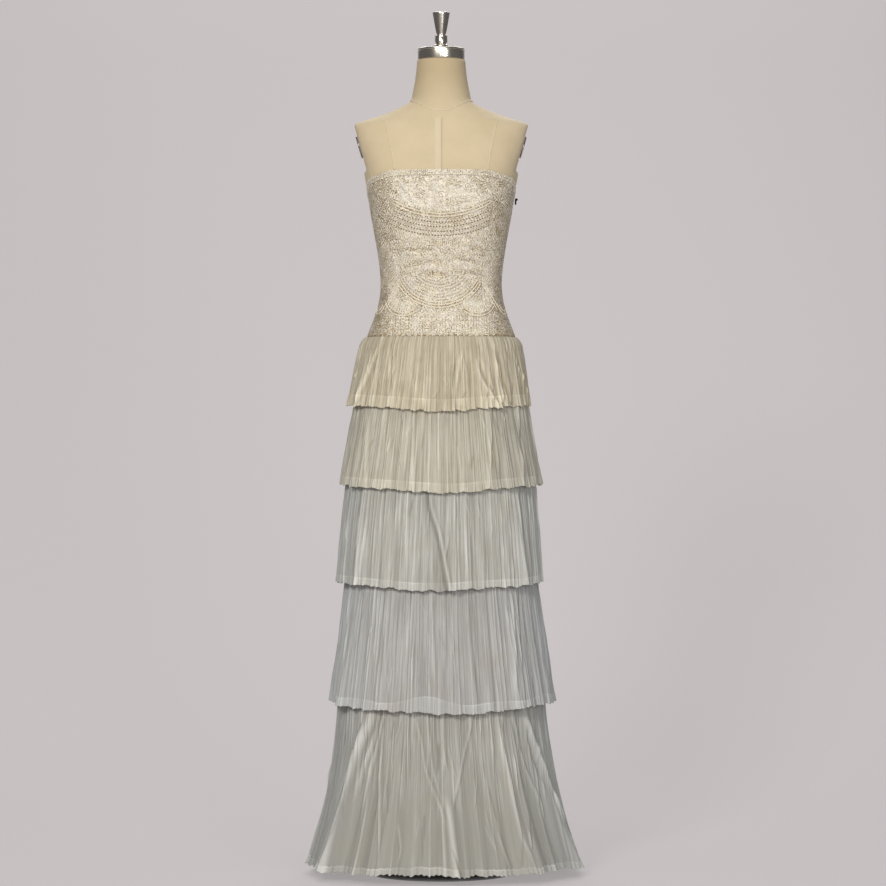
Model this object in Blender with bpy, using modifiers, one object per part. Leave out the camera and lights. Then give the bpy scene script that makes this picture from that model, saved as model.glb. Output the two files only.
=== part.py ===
"""Strapless wedding dress with a fitted bodice and five pleated tiers, worn by a limbless dress form.

The frame is metres with +Z up. The origin is on the floor under the middle of the stand, the front of
the dress faces -Y, and the wearer's left is +X. A place around the body is a turn: 0 is the middle of
the front, 1 the wearer's left side, 2 the middle of the back and 3 the wearer's right side.
"""

import math
import random
from bisect import bisect_right
from collections import namedtuple
from functools import lru_cache

import bmesh
import bpy
from mathutils import Matrix, Vector

# Cloth and seams
CLOTH_GAP = 0.0004
SEAM_GAP = 0.0003
BODICE_WALL = 0.0015
BAND_WALL = 0.0021
SLIP_WALL = 0.0010
TIER_WALL = 0.0012

# Heights above the floor
NECK_TOP = 1.6245
NECKLINE_FRONT = 1.399
BAND_HEIGHT = 0.012
HIP_SEAM = 1.0705
FORM_BOTTOM = 0.870

# Panel seams of the bodice, as turns from the middle of the front
FRONT_SEAM = 0.50
SIDE_SEAM = 1.0
BACK_SEAM = 1.5

PLEATS_PER_TIER = 40
COLLECTION = "wedding_dress"

# How finely a quarter of a section is measured, and the angle past which an edge is shaded sharp
ARC_STEPS = 48
SHARP_ANGLE = 40

# The dress form's horizontal sections: half width, depth in front, depth behind and squareness
Section = namedtuple("Section", "z width front back square")
FORM_SECTIONS = (
    Section(0.870, 0.1490, 0.0960, 0.1080, 2.3),
    Section(0.884, 0.1560, 0.1015, 0.1140, 2.3),
    Section(0.930, 0.1610, 0.1050, 0.1200, 2.3),
    Section(0.970, 0.1625, 0.1060, 0.1220, 2.3),
    Section(1.030, 0.1560, 0.1030, 0.1180, 2.3),
    Section(1.0705, 0.1470, 0.0990, 0.1105, 2.3),
    Section(1.105, 0.1343, 0.0940, 0.0990, 2.25),
    Section(1.140, 0.1236, 0.0880, 0.0880, 2.2),
    Section(1.175, 0.1194, 0.0850, 0.0820, 2.2),
    Section(1.210, 0.1216, 0.0885, 0.0830, 2.2),
    Section(1.250, 0.1272, 0.0975, 0.0880, 2.3),
    Section(1.290, 0.1345, 0.1090, 0.0950, 2.4),
    Section(1.325, 0.1406, 0.1170, 0.1005, 2.5),
    Section(1.357, 0.1455, 0.1175, 0.1045, 2.5),
    Section(1.387, 0.1515, 0.1120, 0.1060, 2.5),
    Section(1.410, 0.1560, 0.1050, 0.1065, 2.5),
    Section(1.435, 0.1640, 0.0965, 0.1055, 2.4),
    Section(1.460, 0.1710, 0.0895, 0.1025, 2.2),
    Section(1.480, 0.1750, 0.0845, 0.0985, 2.0),
    Section(1.492, 0.1765, 0.0815, 0.0950, 1.8),
    Section(1.5003, 0.1650, 0.0790, 0.0920, 1.7),
    Section(1.5103, 0.1310, 0.0755, 0.0880, 1.7),
    Section(1.5203, 0.1045, 0.0715, 0.0830, 1.75),
    Section(1.5303, 0.0815, 0.0670, 0.0775, 1.85),
    Section(1.5413, 0.0628, 0.0610, 0.0710, 2.0),
    Section(1.558, 0.0575, 0.0560, 0.0630, 2.0),
    Section(1.590, 0.0515, 0.0520, 0.0530, 2.0),
    Section(1.6245, 0.0480, 0.0487, 0.0470, 2.0),
)

# The slip skirt under the tiers hangs clear of the form from the hip down
SLIP_SECTIONS = (
    Section(0.0600, 0.2040, 0.1600, 0.1780, 2.1),
    Section(0.4000, 0.1900, 0.1420, 0.1590, 2.1),
    Section(0.6300, 0.1800, 0.1300, 0.1460, 2.15),
    Section(0.8200, 0.1715, 0.1180, 0.1340, 2.2),
    Section(0.9700, 0.1629, 0.1064, 0.1224, 2.3),
)
SLIP_FREE_BELOW = 0.970

# Rows of the form that the neckline pulls down towards the sides: height in front and share of the pull
FormRow = namedtuple("FormRow", "z pull")
FORM_ROWS = (
    FormRow(FORM_BOTTOM, 0.0),
    FormRow(0.884, 0.0),
    FormRow(0.930, 0.0),
    FormRow(0.970, 0.0),
    FormRow(1.030, 0.0),
    FormRow(HIP_SEAM, 0.0),
    FormRow(1.105, 0.0),
    FormRow(1.140, 0.0),
    FormRow(1.175, 0.0),
    FormRow(1.210, 0.0),
    FormRow(1.250, 0.1),
    FormRow(1.290, 0.3),
    FormRow(1.325, 0.6),
    FormRow(1.357, 0.85),
    FormRow(NECKLINE_FRONT - BAND_HEIGHT, 1.0),
    FormRow(NECKLINE_FRONT, 1.0),
    FormRow(1.430, 0.6),
    FormRow(1.455, 0.25),
    FormRow(1.478, 0.0),
    FormRow(1.492, 0.0),
    FormRow(1.5003, 0.0),
    FormRow(1.5103, 0.0),
    FormRow(1.5203, 0.0),
    FormRow(1.5303, 0.0),
    FormRow(1.5413, 0.0),
    FormRow(1.558, 0.0),
    FormRow(1.590, 0.0),
    FormRow(NECK_TOP, 0.0),
)

# Height of the strapless neckline around the body
Neckline = namedtuple("Neckline", "turn z")
NECKLINE = (
    Neckline(0.00, 1.399),
    Neckline(0.45, 1.397),
    Neckline(0.60, 1.390),
    Neckline(0.75, 1.383),
    Neckline(0.88, 1.368),
    Neckline(1.00, 1.352),
    Neckline(1.50, 1.345),
    Neckline(2.00, 1.343),
)

# Bust of the form and bodice: two soft mounds on the front
BUST_LIFT = 0.010
BUST_APART = 0.076
BUST_HEIGHT = 1.327
BUST_REACH = 0.040

# The armholes are cut flat along leaning planes, which the arm plates cover
ARM_HEIGHT = 1.4513
ARM_REACH = 0.1618
ARM_LEAN = 0.283
ARM_PLATE_TALL = 0.046
ARM_PLATE_WIDE = 0.041
ARM_PLATE_THICK = 0.0035

# Each tier: seam and hem heights, how far the hem dips in front, outer half widths under the seam and
# at the hem, bow between them, sway of the hem to the wearer's left, front depth as a share of half
# width, pleat depth at the hem
Tier = namedtuple("Tier", "name seam hem dip puff spread bow sway front_puff front_hem pleat seed")
TIERS = (
    Tier("tier_1", 1.0702, 0.936, 0.013, 0.1635, 0.1850, 0.000, -0.0040, 0.705, 0.755, 0.0055, 11),
    Tier("tier_2", 0.9700, 0.778, 0.015, 0.1735, 0.2040, 0.000, -0.0010, 0.715, 0.775, 0.0060, 23),
    Tier("tier_3", 0.8200, 0.584, 0.013, 0.1895, 0.2090, 0.001, -0.0025, 0.725, 0.785, 0.0060, 37),
    Tier("tier_4", 0.6300, 0.345, 0.014, 0.1915, 0.2275, -0.001, 0.0020, 0.745, 0.800, 0.0065, 41),
    Tier("tier_5", 0.4000, 0.020, 0.000, 0.2060, 0.2770, -0.013, 0.0065, 0.765, 0.825, 0.0070, 59),
)
BACK_FULLER = 0.08
PUFF_SHARE = 0.12
ROW_SHARES = (1.0, 0.7, 0.4, PUFF_SHARE, 0.0)
LONG_ROW_SHARES = (1.0, 0.88, 0.66, 0.38, PUFF_SHARE, 0.0)
LONG_TIER = 0.3
SKIRT_SQUARE = 2.1

# Evenness of the tiers: how far pleats wander, as a share of their spacing, how far the gathers stand
# out at the seam, how much the hem waves and how sharp the large folds are
PLEAT_WANDER = 0.12
SHALLOW_PLEAT = 0.7
CREST_LOSS = 0.35
PLEAT_AT_SEAM = 0.5
GATHER_DEPTH = 0.003
HEM_WAVE = 0.0015
HEM_WAVES = 5
FOLD_SHARPNESS = 1.3

# Large folds that stand out from the tiers: turn at seam and hem, reach to the wearer's right and
# left of the crest, and lift at the hem
Fold = namedtuple("Fold", "tier seam hem right left lift")
FOLDS = (
    Fold("tier_1", -0.67, -0.73, 0.10, 0.12, 0.006),
    Fold("tier_1", -0.12, -0.16, 0.12, 0.10, 0.005),
    Fold("tier_1", 0.09, 0.07, 0.08, 0.14, 0.006),
    Fold("tier_1", 0.35, 0.47, 0.16, 0.07, 0.009),
    Fold("tier_1", 1.42, 1.50, 0.12, 0.12, 0.006),
    Fold("tier_1", 2.10, 2.06, 0.14, 0.10, 0.007),
    Fold("tier_1", 2.62, 2.54, 0.10, 0.12, 0.006),
    Fold("tier_2", -0.60, -0.62, 0.12, 0.10, 0.006),
    Fold("tier_2", 0.60, 0.64, 0.30, 0.06, 0.009),
    Fold("tier_2", 1.55, 1.60, 0.12, 0.16, 0.007),
    Fold("tier_2", 2.35, 2.42, 0.16, 0.12, 0.007),
    Fold("tier_3", -0.59, -0.62, 0.10, 0.14, 0.008),
    Fold("tier_3", -0.06, 0.06, 0.07, 0.22, 0.011),
    Fold("tier_3", 0.56, 0.62, 0.24, 0.06, 0.011),
    Fold("tier_3", 1.60, 1.52, 0.14, 0.12, 0.009),
    Fold("tier_3", 2.12, 2.20, 0.12, 0.14, 0.008),
    Fold("tier_3", 2.70, 2.66, 0.12, 0.10, 0.007),
    Fold("tier_4", -0.66, -0.72, 0.10, 0.12, 0.009),
    Fold("tier_4", -0.34, -0.38, 0.10, 0.10, 0.006),
    Fold("tier_4", 0.06, 0.05, 0.14, 0.08, 0.007),
    Fold("tier_4", 0.575, 0.56, 0.20, 0.06, 0.012),
    Fold("tier_4", 1.45, 1.52, 0.12, 0.14, 0.009),
    Fold("tier_4", 2.02, 1.98, 0.14, 0.12, 0.009),
    Fold("tier_4", 2.55, 2.60, 0.12, 0.12, 0.009),
    Fold("tier_5", -0.50, -0.66, 0.12, 0.10, 0.022),
    Fold("tier_5", -0.28, -0.34, 0.10, 0.10, 0.012),
    Fold("tier_5", 0.03, 0.07, 0.14, 0.10, 0.020),
    Fold("tier_5", 0.36, 0.46, 0.10, 0.12, 0.018),
    Fold("tier_5", 0.60, 0.80, 0.12, 0.10, 0.016),
    Fold("tier_5", 1.36, 1.30, 0.12, 0.12, 0.018),
    Fold("tier_5", 1.72, 1.70, 0.12, 0.12, 0.020),
    Fold("tier_5", 2.14, 2.10, 0.12, 0.14, 0.022),
    Fold("tier_5", 2.52, 2.58, 0.12, 0.12, 0.020),
)

# Small hook at the head of the side opening, on the wearer's left
HOOK_Z = 1.343
HOOK_LENGTH = 0.007
HOOK_WIDTH = 0.0045
HOOK_THICK = 0.0026

# Metal fittings and stand
CAP_RADIUS = 0.047
CAP_HEIGHT = 0.0235
KNOB_HEIGHT = 0.0718
POLE_RADIUS = 0.0125
BASE_RADIUS = 0.145
BASE_EDGE = 0.006
BASE_TOP = 0.012
SOCKET_RADIUS = 0.021
SOCKET_TOP = 0.060

# Colour, roughness and metallic value of each finish
Finish = namedtuple("Finish", "colour roughness metallic")
FINISHES = {
    "lace": Finish((0.76, 0.71, 0.60), 0.55, 0.0),
    "ivory_chiffon": Finish((0.62, 0.59, 0.49), 0.75, 0.0),
    "grey_chiffon": Finish((0.54, 0.56, 0.52), 0.75, 0.0),
    "slip": Finish((0.55, 0.55, 0.50), 0.60, 0.0),
    "form_canvas": Finish((0.68, 0.59, 0.42), 0.85, 0.0),
    "polished_metal": Finish((0.62, 0.60, 0.58), 0.22, 1.0),
    "stand_metal": Finish((0.30, 0.30, 0.31), 0.40, 1.0),
    "dark_hook": Finish((0.02, 0.02, 0.02), 0.40, 0.6),
}


def blend_rows(rows, key, value):
    """A row between the rows of a table, on a smooth curve through them; key names the first column."""
    keys = [getattr(row, key) for row in rows]
    if value <= keys[0]:
        return rows[0]
    if value >= keys[-1]:
        return rows[-1]
    after = bisect_right(keys, value)
    near = [max(0, after - 2), after - 1, after, min(len(rows) - 1, after + 1)]
    span = keys[after] - keys[after - 1]
    share = (value - keys[after - 1]) / span
    mixed = []
    for column in range(len(rows[0])):
        before, low, high, beyond = (rows[i][column] for i in near)
        low_slope = (high - before) / (keys[near[2]] - keys[near[0]]) * span
        high_slope = (beyond - low) / (keys[near[3]] - keys[near[1]]) * span
        step = high - low
        curve = low_slope - step
        mixed.append(
            low
            + share * step
            + share * (1 - share) * ((1 - share) * curve + share * (step - high_slope))
        )
    return type(rows[0])(*mixed)


@lru_cache(maxsize=None)
def quarter_arc(width, depth, square):
    """Points of a quarter of a section, from the middle to the side, and the share of its length at each."""
    points = []
    for i in range(ARC_STEPS + 1):
        angle = math.pi / 2 * i / ARC_STEPS
        across = width * math.sin(angle) ** (2 / square)
        points.append(Vector((across, depth * math.cos(angle) ** (2 / square))))
    lengths = [0.0]
    for first, second in zip(points, points[1:]):
        lengths.append(lengths[-1] + (second - first).length)
    return points, [length / lengths[-1] for length in lengths]


def section_point(section, turn, z, grow=0.0):
    """The point of a section at a turn around the body, with the section grown outwards."""
    turn = turn % 4
    in_front = turn <= 1 or turn >= 3
    share = min(turn, 4 - turn) if in_front else abs(2 - turn)
    depth = section.front if in_front else section.back
    points, shares = quarter_arc(
        round(section.width + grow, 6), round(depth + grow, 6), round(section.square, 4)
    )
    after = min(max(bisect_right(shares, share), 1), len(points) - 1)
    part = (share - shares[after - 1]) / (shares[after] - shares[after - 1])
    flat = points[after - 1].lerp(points[after], part)
    return Vector((flat.x if turn < 2 else -flat.x, -flat.y if in_front else flat.y, z))


def bust_lift(x, z):
    """How far the bust stands out at a place on the front."""
    across = (abs(x) - BUST_APART) / BUST_REACH
    up = (z - BUST_HEIGHT) / BUST_REACH
    return BUST_LIFT * math.exp(-across * across - up * up)


def arm_plane(z):
    """How far out the flat of the armhole is at a height."""
    return ARM_REACH + ARM_LEAN * (z - ARM_HEIGHT)


def body_point(turn, z, grow=0.0):
    """A point on the dress form, or that far outside it."""
    point = section_point(blend_rows(FORM_SECTIONS, "z", z), turn, z, grow)
    if point.y < 0:
        point.y -= bust_lift(point.x, z)
    if z > NECKLINE_FRONT:
        reach = arm_plane(z)
        point.x = max(-reach, min(reach, point.x))
    return point


def neckline_height(turn):
    """Height of the neckline at a turn."""
    turn = turn % 4
    return blend_rows(NECKLINE, "turn", min(turn, 4 - turn)).z


def row_height(row, turn):
    """Height of a row of the form at a turn."""
    return row.z + row.pull * (neckline_height(turn) - NECKLINE_FRONT)


def spread_turns(first, last, parts):
    """Turns from first to last, the last one left out."""
    return [first + (last - first) * i / parts for i in range(parts)]


def body_turns():
    """Turns of the form's columns, with one on each seam of the bodice."""
    left = (
        spread_turns(0.0, FRONT_SEAM, 6)
        + spread_turns(FRONT_SEAM, SIDE_SEAM, 6)
        + spread_turns(SIDE_SEAM, BACK_SEAM, 6)
        + spread_turns(BACK_SEAM, 2.0, 6)
    )
    return left + [2.0] + [4 - turn for turn in reversed(left[1:])]


def material_for(finish):
    """The material of a finish, made the first time it is asked for."""
    material = bpy.data.materials.get(finish)
    if material is None:
        material = bpy.data.materials.new(finish)
        material.use_nodes = True
        shader = material.node_tree.nodes["Principled BSDF"]
        shader.inputs["Base Color"].default_value = (*FINISHES[finish].colour, 1.0)
        shader.inputs["Roughness"].default_value = FINISHES[finish].roughness
        shader.inputs["Metallic"].default_value = FINISHES[finish].metallic
    return material


def place(name, mesh, finish):
    """A named object in the dress's collection."""
    mesh.materials.append(material_for(finish))
    obj = bpy.data.objects.new(name, mesh)
    bpy.data.collections[COLLECTION].objects.link(obj)
    return obj


def loft(name, rows, finish, around=True, capped=False):
    """A surface through rows of points, from the lowest row up, closed around the body or open."""
    work = bmesh.new()
    rings = [[work.verts.new(point) for point in row] for row in rows]
    count = len(rings[0])
    for low, high in zip(rings, rings[1:]):
        for i in range(count if around else count - 1):
            j = (i + 1) % count
            work.faces.new((low[i], low[j], high[j]))
            work.faces.new((low[i], high[j], high[i]))
    if capped:
        work.faces.new(list(reversed(rings[0])))
        work.faces.new(rings[-1])
    mesh = bpy.data.meshes.new(name)
    work.to_mesh(mesh)
    work.free()
    mesh.shade_smooth()
    mesh.set_sharp_from_angle(angle=math.radians(SHARP_ANGLE))
    return place(name, mesh, finish)


def thicken(obj, wall):
    """Turns an open surface into a wall that grows outwards from it."""
    solid = obj.modifiers.new("wall", "SOLIDIFY")
    solid.thickness = wall
    solid.offset = 1.0
    return obj


def turned(name, profile, finish, steps):
    """A solid turned about Z from (radius, height) points that run down its outer side from the top."""
    mesh = bpy.data.meshes.new(name)
    edges = [(i, i + 1) for i in range(len(profile) - 1)]
    mesh.from_pydata([(radius, 0.0, z) for radius, z in profile], edges, [])
    obj = place(name, mesh, finish)
    screw = obj.modifiers.new("turn", "SCREW")
    screw.steps = steps
    screw.render_steps = steps
    screw.use_merge_vertices = True
    screw.merge_threshold = 0.00001
    return obj


def make_form_body():
    """The padded torso of the dress form, from the neck to the hips."""
    turns = body_turns()
    rows = [[body_point(turn, row_height(row, turn)) for turn in turns] for row in FORM_ROWS]
    return loft("form_body", rows, "form_canvas", capped=True)


def inside_seams(rows_of_points):
    """The points of a panel with its first and last columns moved in by half the seam gap."""
    moved = []
    for points in rows_of_points:
        row = list(points)
        row[0] = row[0] + (row[1] - row[0]).normalized() * SEAM_GAP / 2
        row[-1] = row[-1] + (row[-2] - row[-1]).normalized() * SEAM_GAP / 2
        moved.append(row)
    return moved


def bodice_rows(turns):
    """Points of the bodice's inner face from the hip seam up to the band."""
    hip = FORM_ROWS.index(FormRow(HIP_SEAM, 0.0))
    band = FORM_ROWS.index(FormRow(NECKLINE_FRONT - BAND_HEIGHT, 1.0))
    return [
        [body_point(turn, row_height(row, turn), CLOTH_GAP) for turn in turns]
        for row in FORM_ROWS[hip : band + 1]
    ]


def make_bodice():
    """Six shaped panels, joined at the two front seams, the side seams and the two back seams."""
    turns = body_turns()
    seams = [4 - FRONT_SEAM, FRONT_SEAM, SIDE_SEAM, BACK_SEAM, 4 - BACK_SEAM, 4 - SIDE_SEAM]
    names = [
        "bodice_front",
        "bodice_side_front_left",
        "bodice_side_back_left",
        "bodice_back",
        "bodice_side_back_right",
        "bodice_side_front_right",
    ]
    places = [min(range(len(turns)), key=lambda i, s=seam: abs(turns[i] - s)) for seam in seams]
    for name, first, last in zip(names, places, places[1:] + places[:1]):
        count = (last - first) % len(turns)
        panel = [turns[(first + i) % len(turns)] for i in range(count + 1)]
        rows = inside_seams(bodice_rows(panel))
        thicken(loft(name, rows, "lace", around=False), BODICE_WALL)


def make_neckline_band():
    """The narrow band that finishes the top of the bodice."""
    rows = []
    for above_front in (SEAM_GAP - BAND_HEIGHT, 0.0):
        row = []
        for turn in body_turns():
            z = neckline_height(turn) + above_front
            row.append(body_point(turn, z, CLOTH_GAP))
        rows.append(row)
    thicken(loft("neckline_band", rows, "lace"), BAND_WALL)


def slip_point(turn, z, grow=0.0):
    """A point on the inner face of the slip skirt, or that far outside it."""
    if z >= SLIP_FREE_BELOW:
        return body_point(turn, z, CLOTH_GAP + grow)
    return section_point(blend_rows(SLIP_SECTIONS, "z", z), turn, z, grow)


def make_slip_skirt():
    """The plain slip that carries the tiers, from the hip seam nearly to the floor."""
    heights = [0.060, 0.400, 0.630, 0.820, 0.970, 1.030, HIP_SEAM - SEAM_GAP]
    rows = [[slip_point(turn, z) for turn in body_turns()] for z in heights]
    thicken(loft("slip_skirt", rows, "slip"), SLIP_WALL)


def signed_distance(turn, crest):
    """How far a turn is past a crest, the short way round."""
    return (turn - crest + 2) % 4 - 2


def fold_lift(tier, turn, share):
    """How far the large folds of a tier stand out at a turn, a share of the way from seam to hem."""
    lift = 0.0
    for fold in FOLDS:
        if fold.tier != tier.name:
            continue
        off = signed_distance(turn, fold.seam + (fold.hem - fold.seam) * share)
        reach = fold.left if off > 0 else fold.right
        lift = max(lift, fold.lift * share * max(0.0, 1 - abs(off) / reach) ** FOLD_SHARPNESS)
    return lift


def tier_section(tier, share, z):
    """Outline of a tier's outer face, a share of the way from seam to hem."""
    along = max(0.0, (share - PUFF_SHARE) / (1 - PUFF_SHARE))
    width = tier.puff + (tier.spread - tier.puff) * along + tier.bow * 4 * along * (1 - along)
    front = tier.front_puff + (tier.front_hem - tier.front_puff) * along
    return Section(z, width, width * front, width * (front + BACK_FULLER), SKIRT_SQUARE)


def hem_height(tier, turn):
    """Height of a tier's hem, which dips in front and waves a little."""
    facing = max(0.0, math.cos(math.pi / 2 * turn))
    wave = HEM_WAVE * math.sin(math.pi / 2 * turn * HEM_WAVES + tier.seed)
    return tier.hem - tier.dip * facing**2 + wave


def pleat_columns(tier):
    """Crests and valleys around a tier, unevenly spaced, each with the share of the pleat depth it loses."""
    draw = random.Random(tier.seed)
    pitch = 4 / PLEATS_PER_TIER
    columns = []
    for i in range(PLEATS_PER_TIER):
        crest = pitch * (i + draw.uniform(-PLEAT_WANDER, PLEAT_WANDER))
        valley = pitch * (i + 0.5 + draw.uniform(-PLEAT_WANDER, PLEAT_WANDER))
        columns.append((crest, draw.uniform(0.0, CREST_LOSS)))
        columns.append((valley, draw.uniform(SHALLOW_PLEAT, 1.0)))
    return columns


def tier_point(tier, turn, lost, share):
    """A point on the inner face of a tier, in a pleat that loses that share of the pleat depth."""
    z = tier.seam + (hem_height(tier, turn) - tier.seam) * share
    if share == 0:
        gathers = GATHER_DEPTH * (1 - lost)
        return slip_point(turn, tier.seam - SEAM_GAP, SLIP_WALL + SEAM_GAP + gathers)
    depth = tier.pleat * (PLEAT_AT_SEAM + (1 - PLEAT_AT_SEAM) * share) * lost
    grow = fold_lift(tier, turn, share) - TIER_WALL - depth
    point = section_point(tier_section(tier, share, z), turn, z, grow)
    point.x += tier.sway * share
    return point


def make_tier(tier):
    """One pleated tier, gathered on to the slip at its seam and open at its hem."""
    long_drop = tier.seam - tier.hem > LONG_TIER
    shares = LONG_ROW_SHARES if long_drop else ROW_SHARES
    columns = pleat_columns(tier)
    rows = [[tier_point(tier, turn, lost, share) for turn, lost in columns] for share in shares]
    finish = "ivory_chiffon" if tier.name in ("tier_1", "tier_2") else "grey_chiffon"
    thicken(loft(tier.name, rows, finish), TIER_WALL)


def make_side_hook():
    """The small fastened hook at the head of the opening on the wearer's left side."""
    work = bmesh.new()
    bmesh.ops.create_uvsphere(work, u_segments=10, v_segments=6, radius=0.5)
    mesh = bpy.data.meshes.new("side_hook")
    work.to_mesh(mesh)
    work.free()
    mesh.shade_smooth()
    hook = place("side_hook", mesh, "dark_hook")
    outside = CLOTH_GAP + BAND_WALL + SEAM_GAP + HOOK_THICK / 2
    seat = body_point(SIDE_SEAM, HOOK_Z, outside)
    hook.matrix_world = Matrix.Translation(seat) @ Matrix.Diagonal(
        (HOOK_THICK, HOOK_WIDTH, HOOK_LENGTH, 1.0)
    )


def make_neck_cap():
    """The polished plate on top of the neck."""
    low = NECK_TOP + SEAM_GAP
    top = low + CAP_HEIGHT
    profile = [
        (0.0, top),
        (CAP_RADIUS - 0.002, top),
        (CAP_RADIUS, top - 0.002),
        (CAP_RADIUS, low + 0.001),
        (CAP_RADIUS - 0.001, low),
        (0.0, low),
    ]
    turned("neck_cap", profile, "polished_metal", 32)


def make_neck_knob():
    """The flared knob that stands on the cap."""
    low = NECK_TOP + CAP_HEIGHT + 2 * SEAM_GAP
    shape = (
        (0.0000, 1.000),
        (0.0160, 1.000),
        (0.0174, 0.975),
        (0.0095, 0.385),
        (0.0092, 0.365),
        (0.0124, 0.355),
        (0.0124, 0.150),
        (0.0115, 0.115),
        (0.0148, 0.065),
        (0.0148, 0.000),
        (0.0000, 0.000),
    )
    profile = [(radius, low + KNOB_HEIGHT * share) for radius, share in shape]
    turned("neck_knob", profile, "polished_metal", 24)


def make_arm_plate(side, name):
    """A polished oval plate over an armhole; side is 1 for the wearer's left and -1 for the right."""
    work = bmesh.new()
    bmesh.ops.create_cone(
        work, cap_ends=True, segments=24, radius1=0.5, radius2=0.5, depth=ARM_PLATE_THICK
    )
    bmesh.ops.scale(work, vec=(ARM_PLATE_TALL, ARM_PLATE_WIDE, 1.0), verts=work.verts)
    mesh = bpy.data.meshes.new(name)
    work.to_mesh(mesh)
    work.free()
    plate = place(name, mesh, "polished_metal")
    lean = math.atan(ARM_LEAN)
    out = ARM_PLATE_THICK / 2 + SEAM_GAP
    plate.location = (
        side * (ARM_REACH + out * math.cos(lean)),
        0.0,
        ARM_HEIGHT - out * math.sin(lean),
    )
    plate.rotation_euler = (0.0, side * (math.pi / 2 + lean), 0.0)
    edge = plate.modifiers.new("edge", "BEVEL")
    edge.width = 0.0012
    edge.segments = 2


def make_stand():
    """A plain pole on a round foot, hidden under the skirt."""
    foot = [
        (0.0, SOCKET_TOP),
        (SOCKET_RADIUS - 0.002, SOCKET_TOP),
        (SOCKET_RADIUS, SOCKET_TOP - 0.002),
        (SOCKET_RADIUS, BASE_TOP + 0.004),
        (SOCKET_RADIUS + 0.004, BASE_TOP),
        (BASE_RADIUS - 0.003, BASE_EDGE),
        (BASE_RADIUS, BASE_EDGE - 0.003),
        (BASE_RADIUS, 0.0),
        (0.0, 0.0),
    ]
    turned("stand_base", foot, "stand_metal", 32)
    low = SOCKET_TOP + SEAM_GAP
    top = FORM_BOTTOM - SEAM_GAP
    bpy.ops.mesh.primitive_cylinder_add(
        vertices=20, radius=POLE_RADIUS, depth=top - low, location=(0.0, 0.0, (top + low) / 2)
    )
    pole = bpy.context.object
    pole.name = "stand_pole"
    pole.data.name = "stand_pole"
    pole.data.materials.append(material_for("stand_metal"))
    for collection in list(pole.users_collection):
        collection.objects.unlink(pole)
    bpy.data.collections[COLLECTION].objects.link(pole)


def main():
    """Clears the scene and builds the dress on its form."""
    for obj in list(bpy.data.objects):
        bpy.data.objects.remove(obj)
    collection = bpy.data.collections.new(COLLECTION)
    bpy.context.scene.collection.children.link(collection)
    make_form_body()
    make_bodice()
    make_neckline_band()
    make_slip_skirt()
    for tier in TIERS:
        make_tier(tier)
    make_side_hook()
    make_neck_cap()
    make_neck_knob()
    make_arm_plate(1, "arm_plate_left")
    make_arm_plate(-1, "arm_plate_right")
    make_stand()


main()
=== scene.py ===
"""Cloth, lace, form and studio for a strapless wedding dress with a fitted bodice and five pleated tiers.

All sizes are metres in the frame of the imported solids: +Z up, the front towards -Y and the wearer's
left towards +X. A place around the body is a turn: 0 is the middle of the front, 1 the wearer's left
side, 2 the middle of the back and 3 the wearer's right side.
"""

import math
import random
from collections import namedtuple

import bpy
import numpy as np
from mathutils import Matrix


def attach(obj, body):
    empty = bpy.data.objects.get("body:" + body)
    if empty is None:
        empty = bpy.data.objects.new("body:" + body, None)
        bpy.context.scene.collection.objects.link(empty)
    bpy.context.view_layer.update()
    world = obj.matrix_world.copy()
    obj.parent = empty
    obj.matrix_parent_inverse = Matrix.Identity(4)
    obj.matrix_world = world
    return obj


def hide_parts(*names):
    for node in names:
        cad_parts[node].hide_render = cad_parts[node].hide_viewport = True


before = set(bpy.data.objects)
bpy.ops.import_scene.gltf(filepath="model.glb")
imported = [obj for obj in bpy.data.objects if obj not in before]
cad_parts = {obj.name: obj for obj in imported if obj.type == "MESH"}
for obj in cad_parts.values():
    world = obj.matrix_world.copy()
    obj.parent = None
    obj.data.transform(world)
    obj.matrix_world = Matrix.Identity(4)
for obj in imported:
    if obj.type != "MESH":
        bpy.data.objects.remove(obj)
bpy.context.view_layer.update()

bl_info = {
    "name": "Tiered wedding dress",
    "version": (1, 0, 0),
    "blender": (4, 5, 0),
    "location": "View3D > Sidebar > Wedding dress",
    "description": "Builds the cloth, lace, dress form and studio of a tiered wedding dress",
    "category": "Object",
}

# Cloth and seams
CLOTH_GAP = 0.0004
SEAM_GAP = 0.0003
BAND_WALL = 0.0021
SLIP_WALL = 0.001
TIER_WALL = 0.0012

# Heights above the floor
NECK_TOP = 1.6245
NECKLINE_FRONT = 1.399
BAND_HEIGHT = 0.012
HIP_SEAM = 1.0705
FORM_BOTTOM = 0.87

# Panel seams of the bodice, as turns from the middle of the front
FRONT_SEAM = 0.5
SIDE_SEAM = 1.0
BACK_SEAM = 1.5

# How finely a quarter of a section is measured
ARC_STEPS = 96
ARC_ANGLES = np.linspace(0, math.pi / 2, ARC_STEPS + 1)

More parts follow.
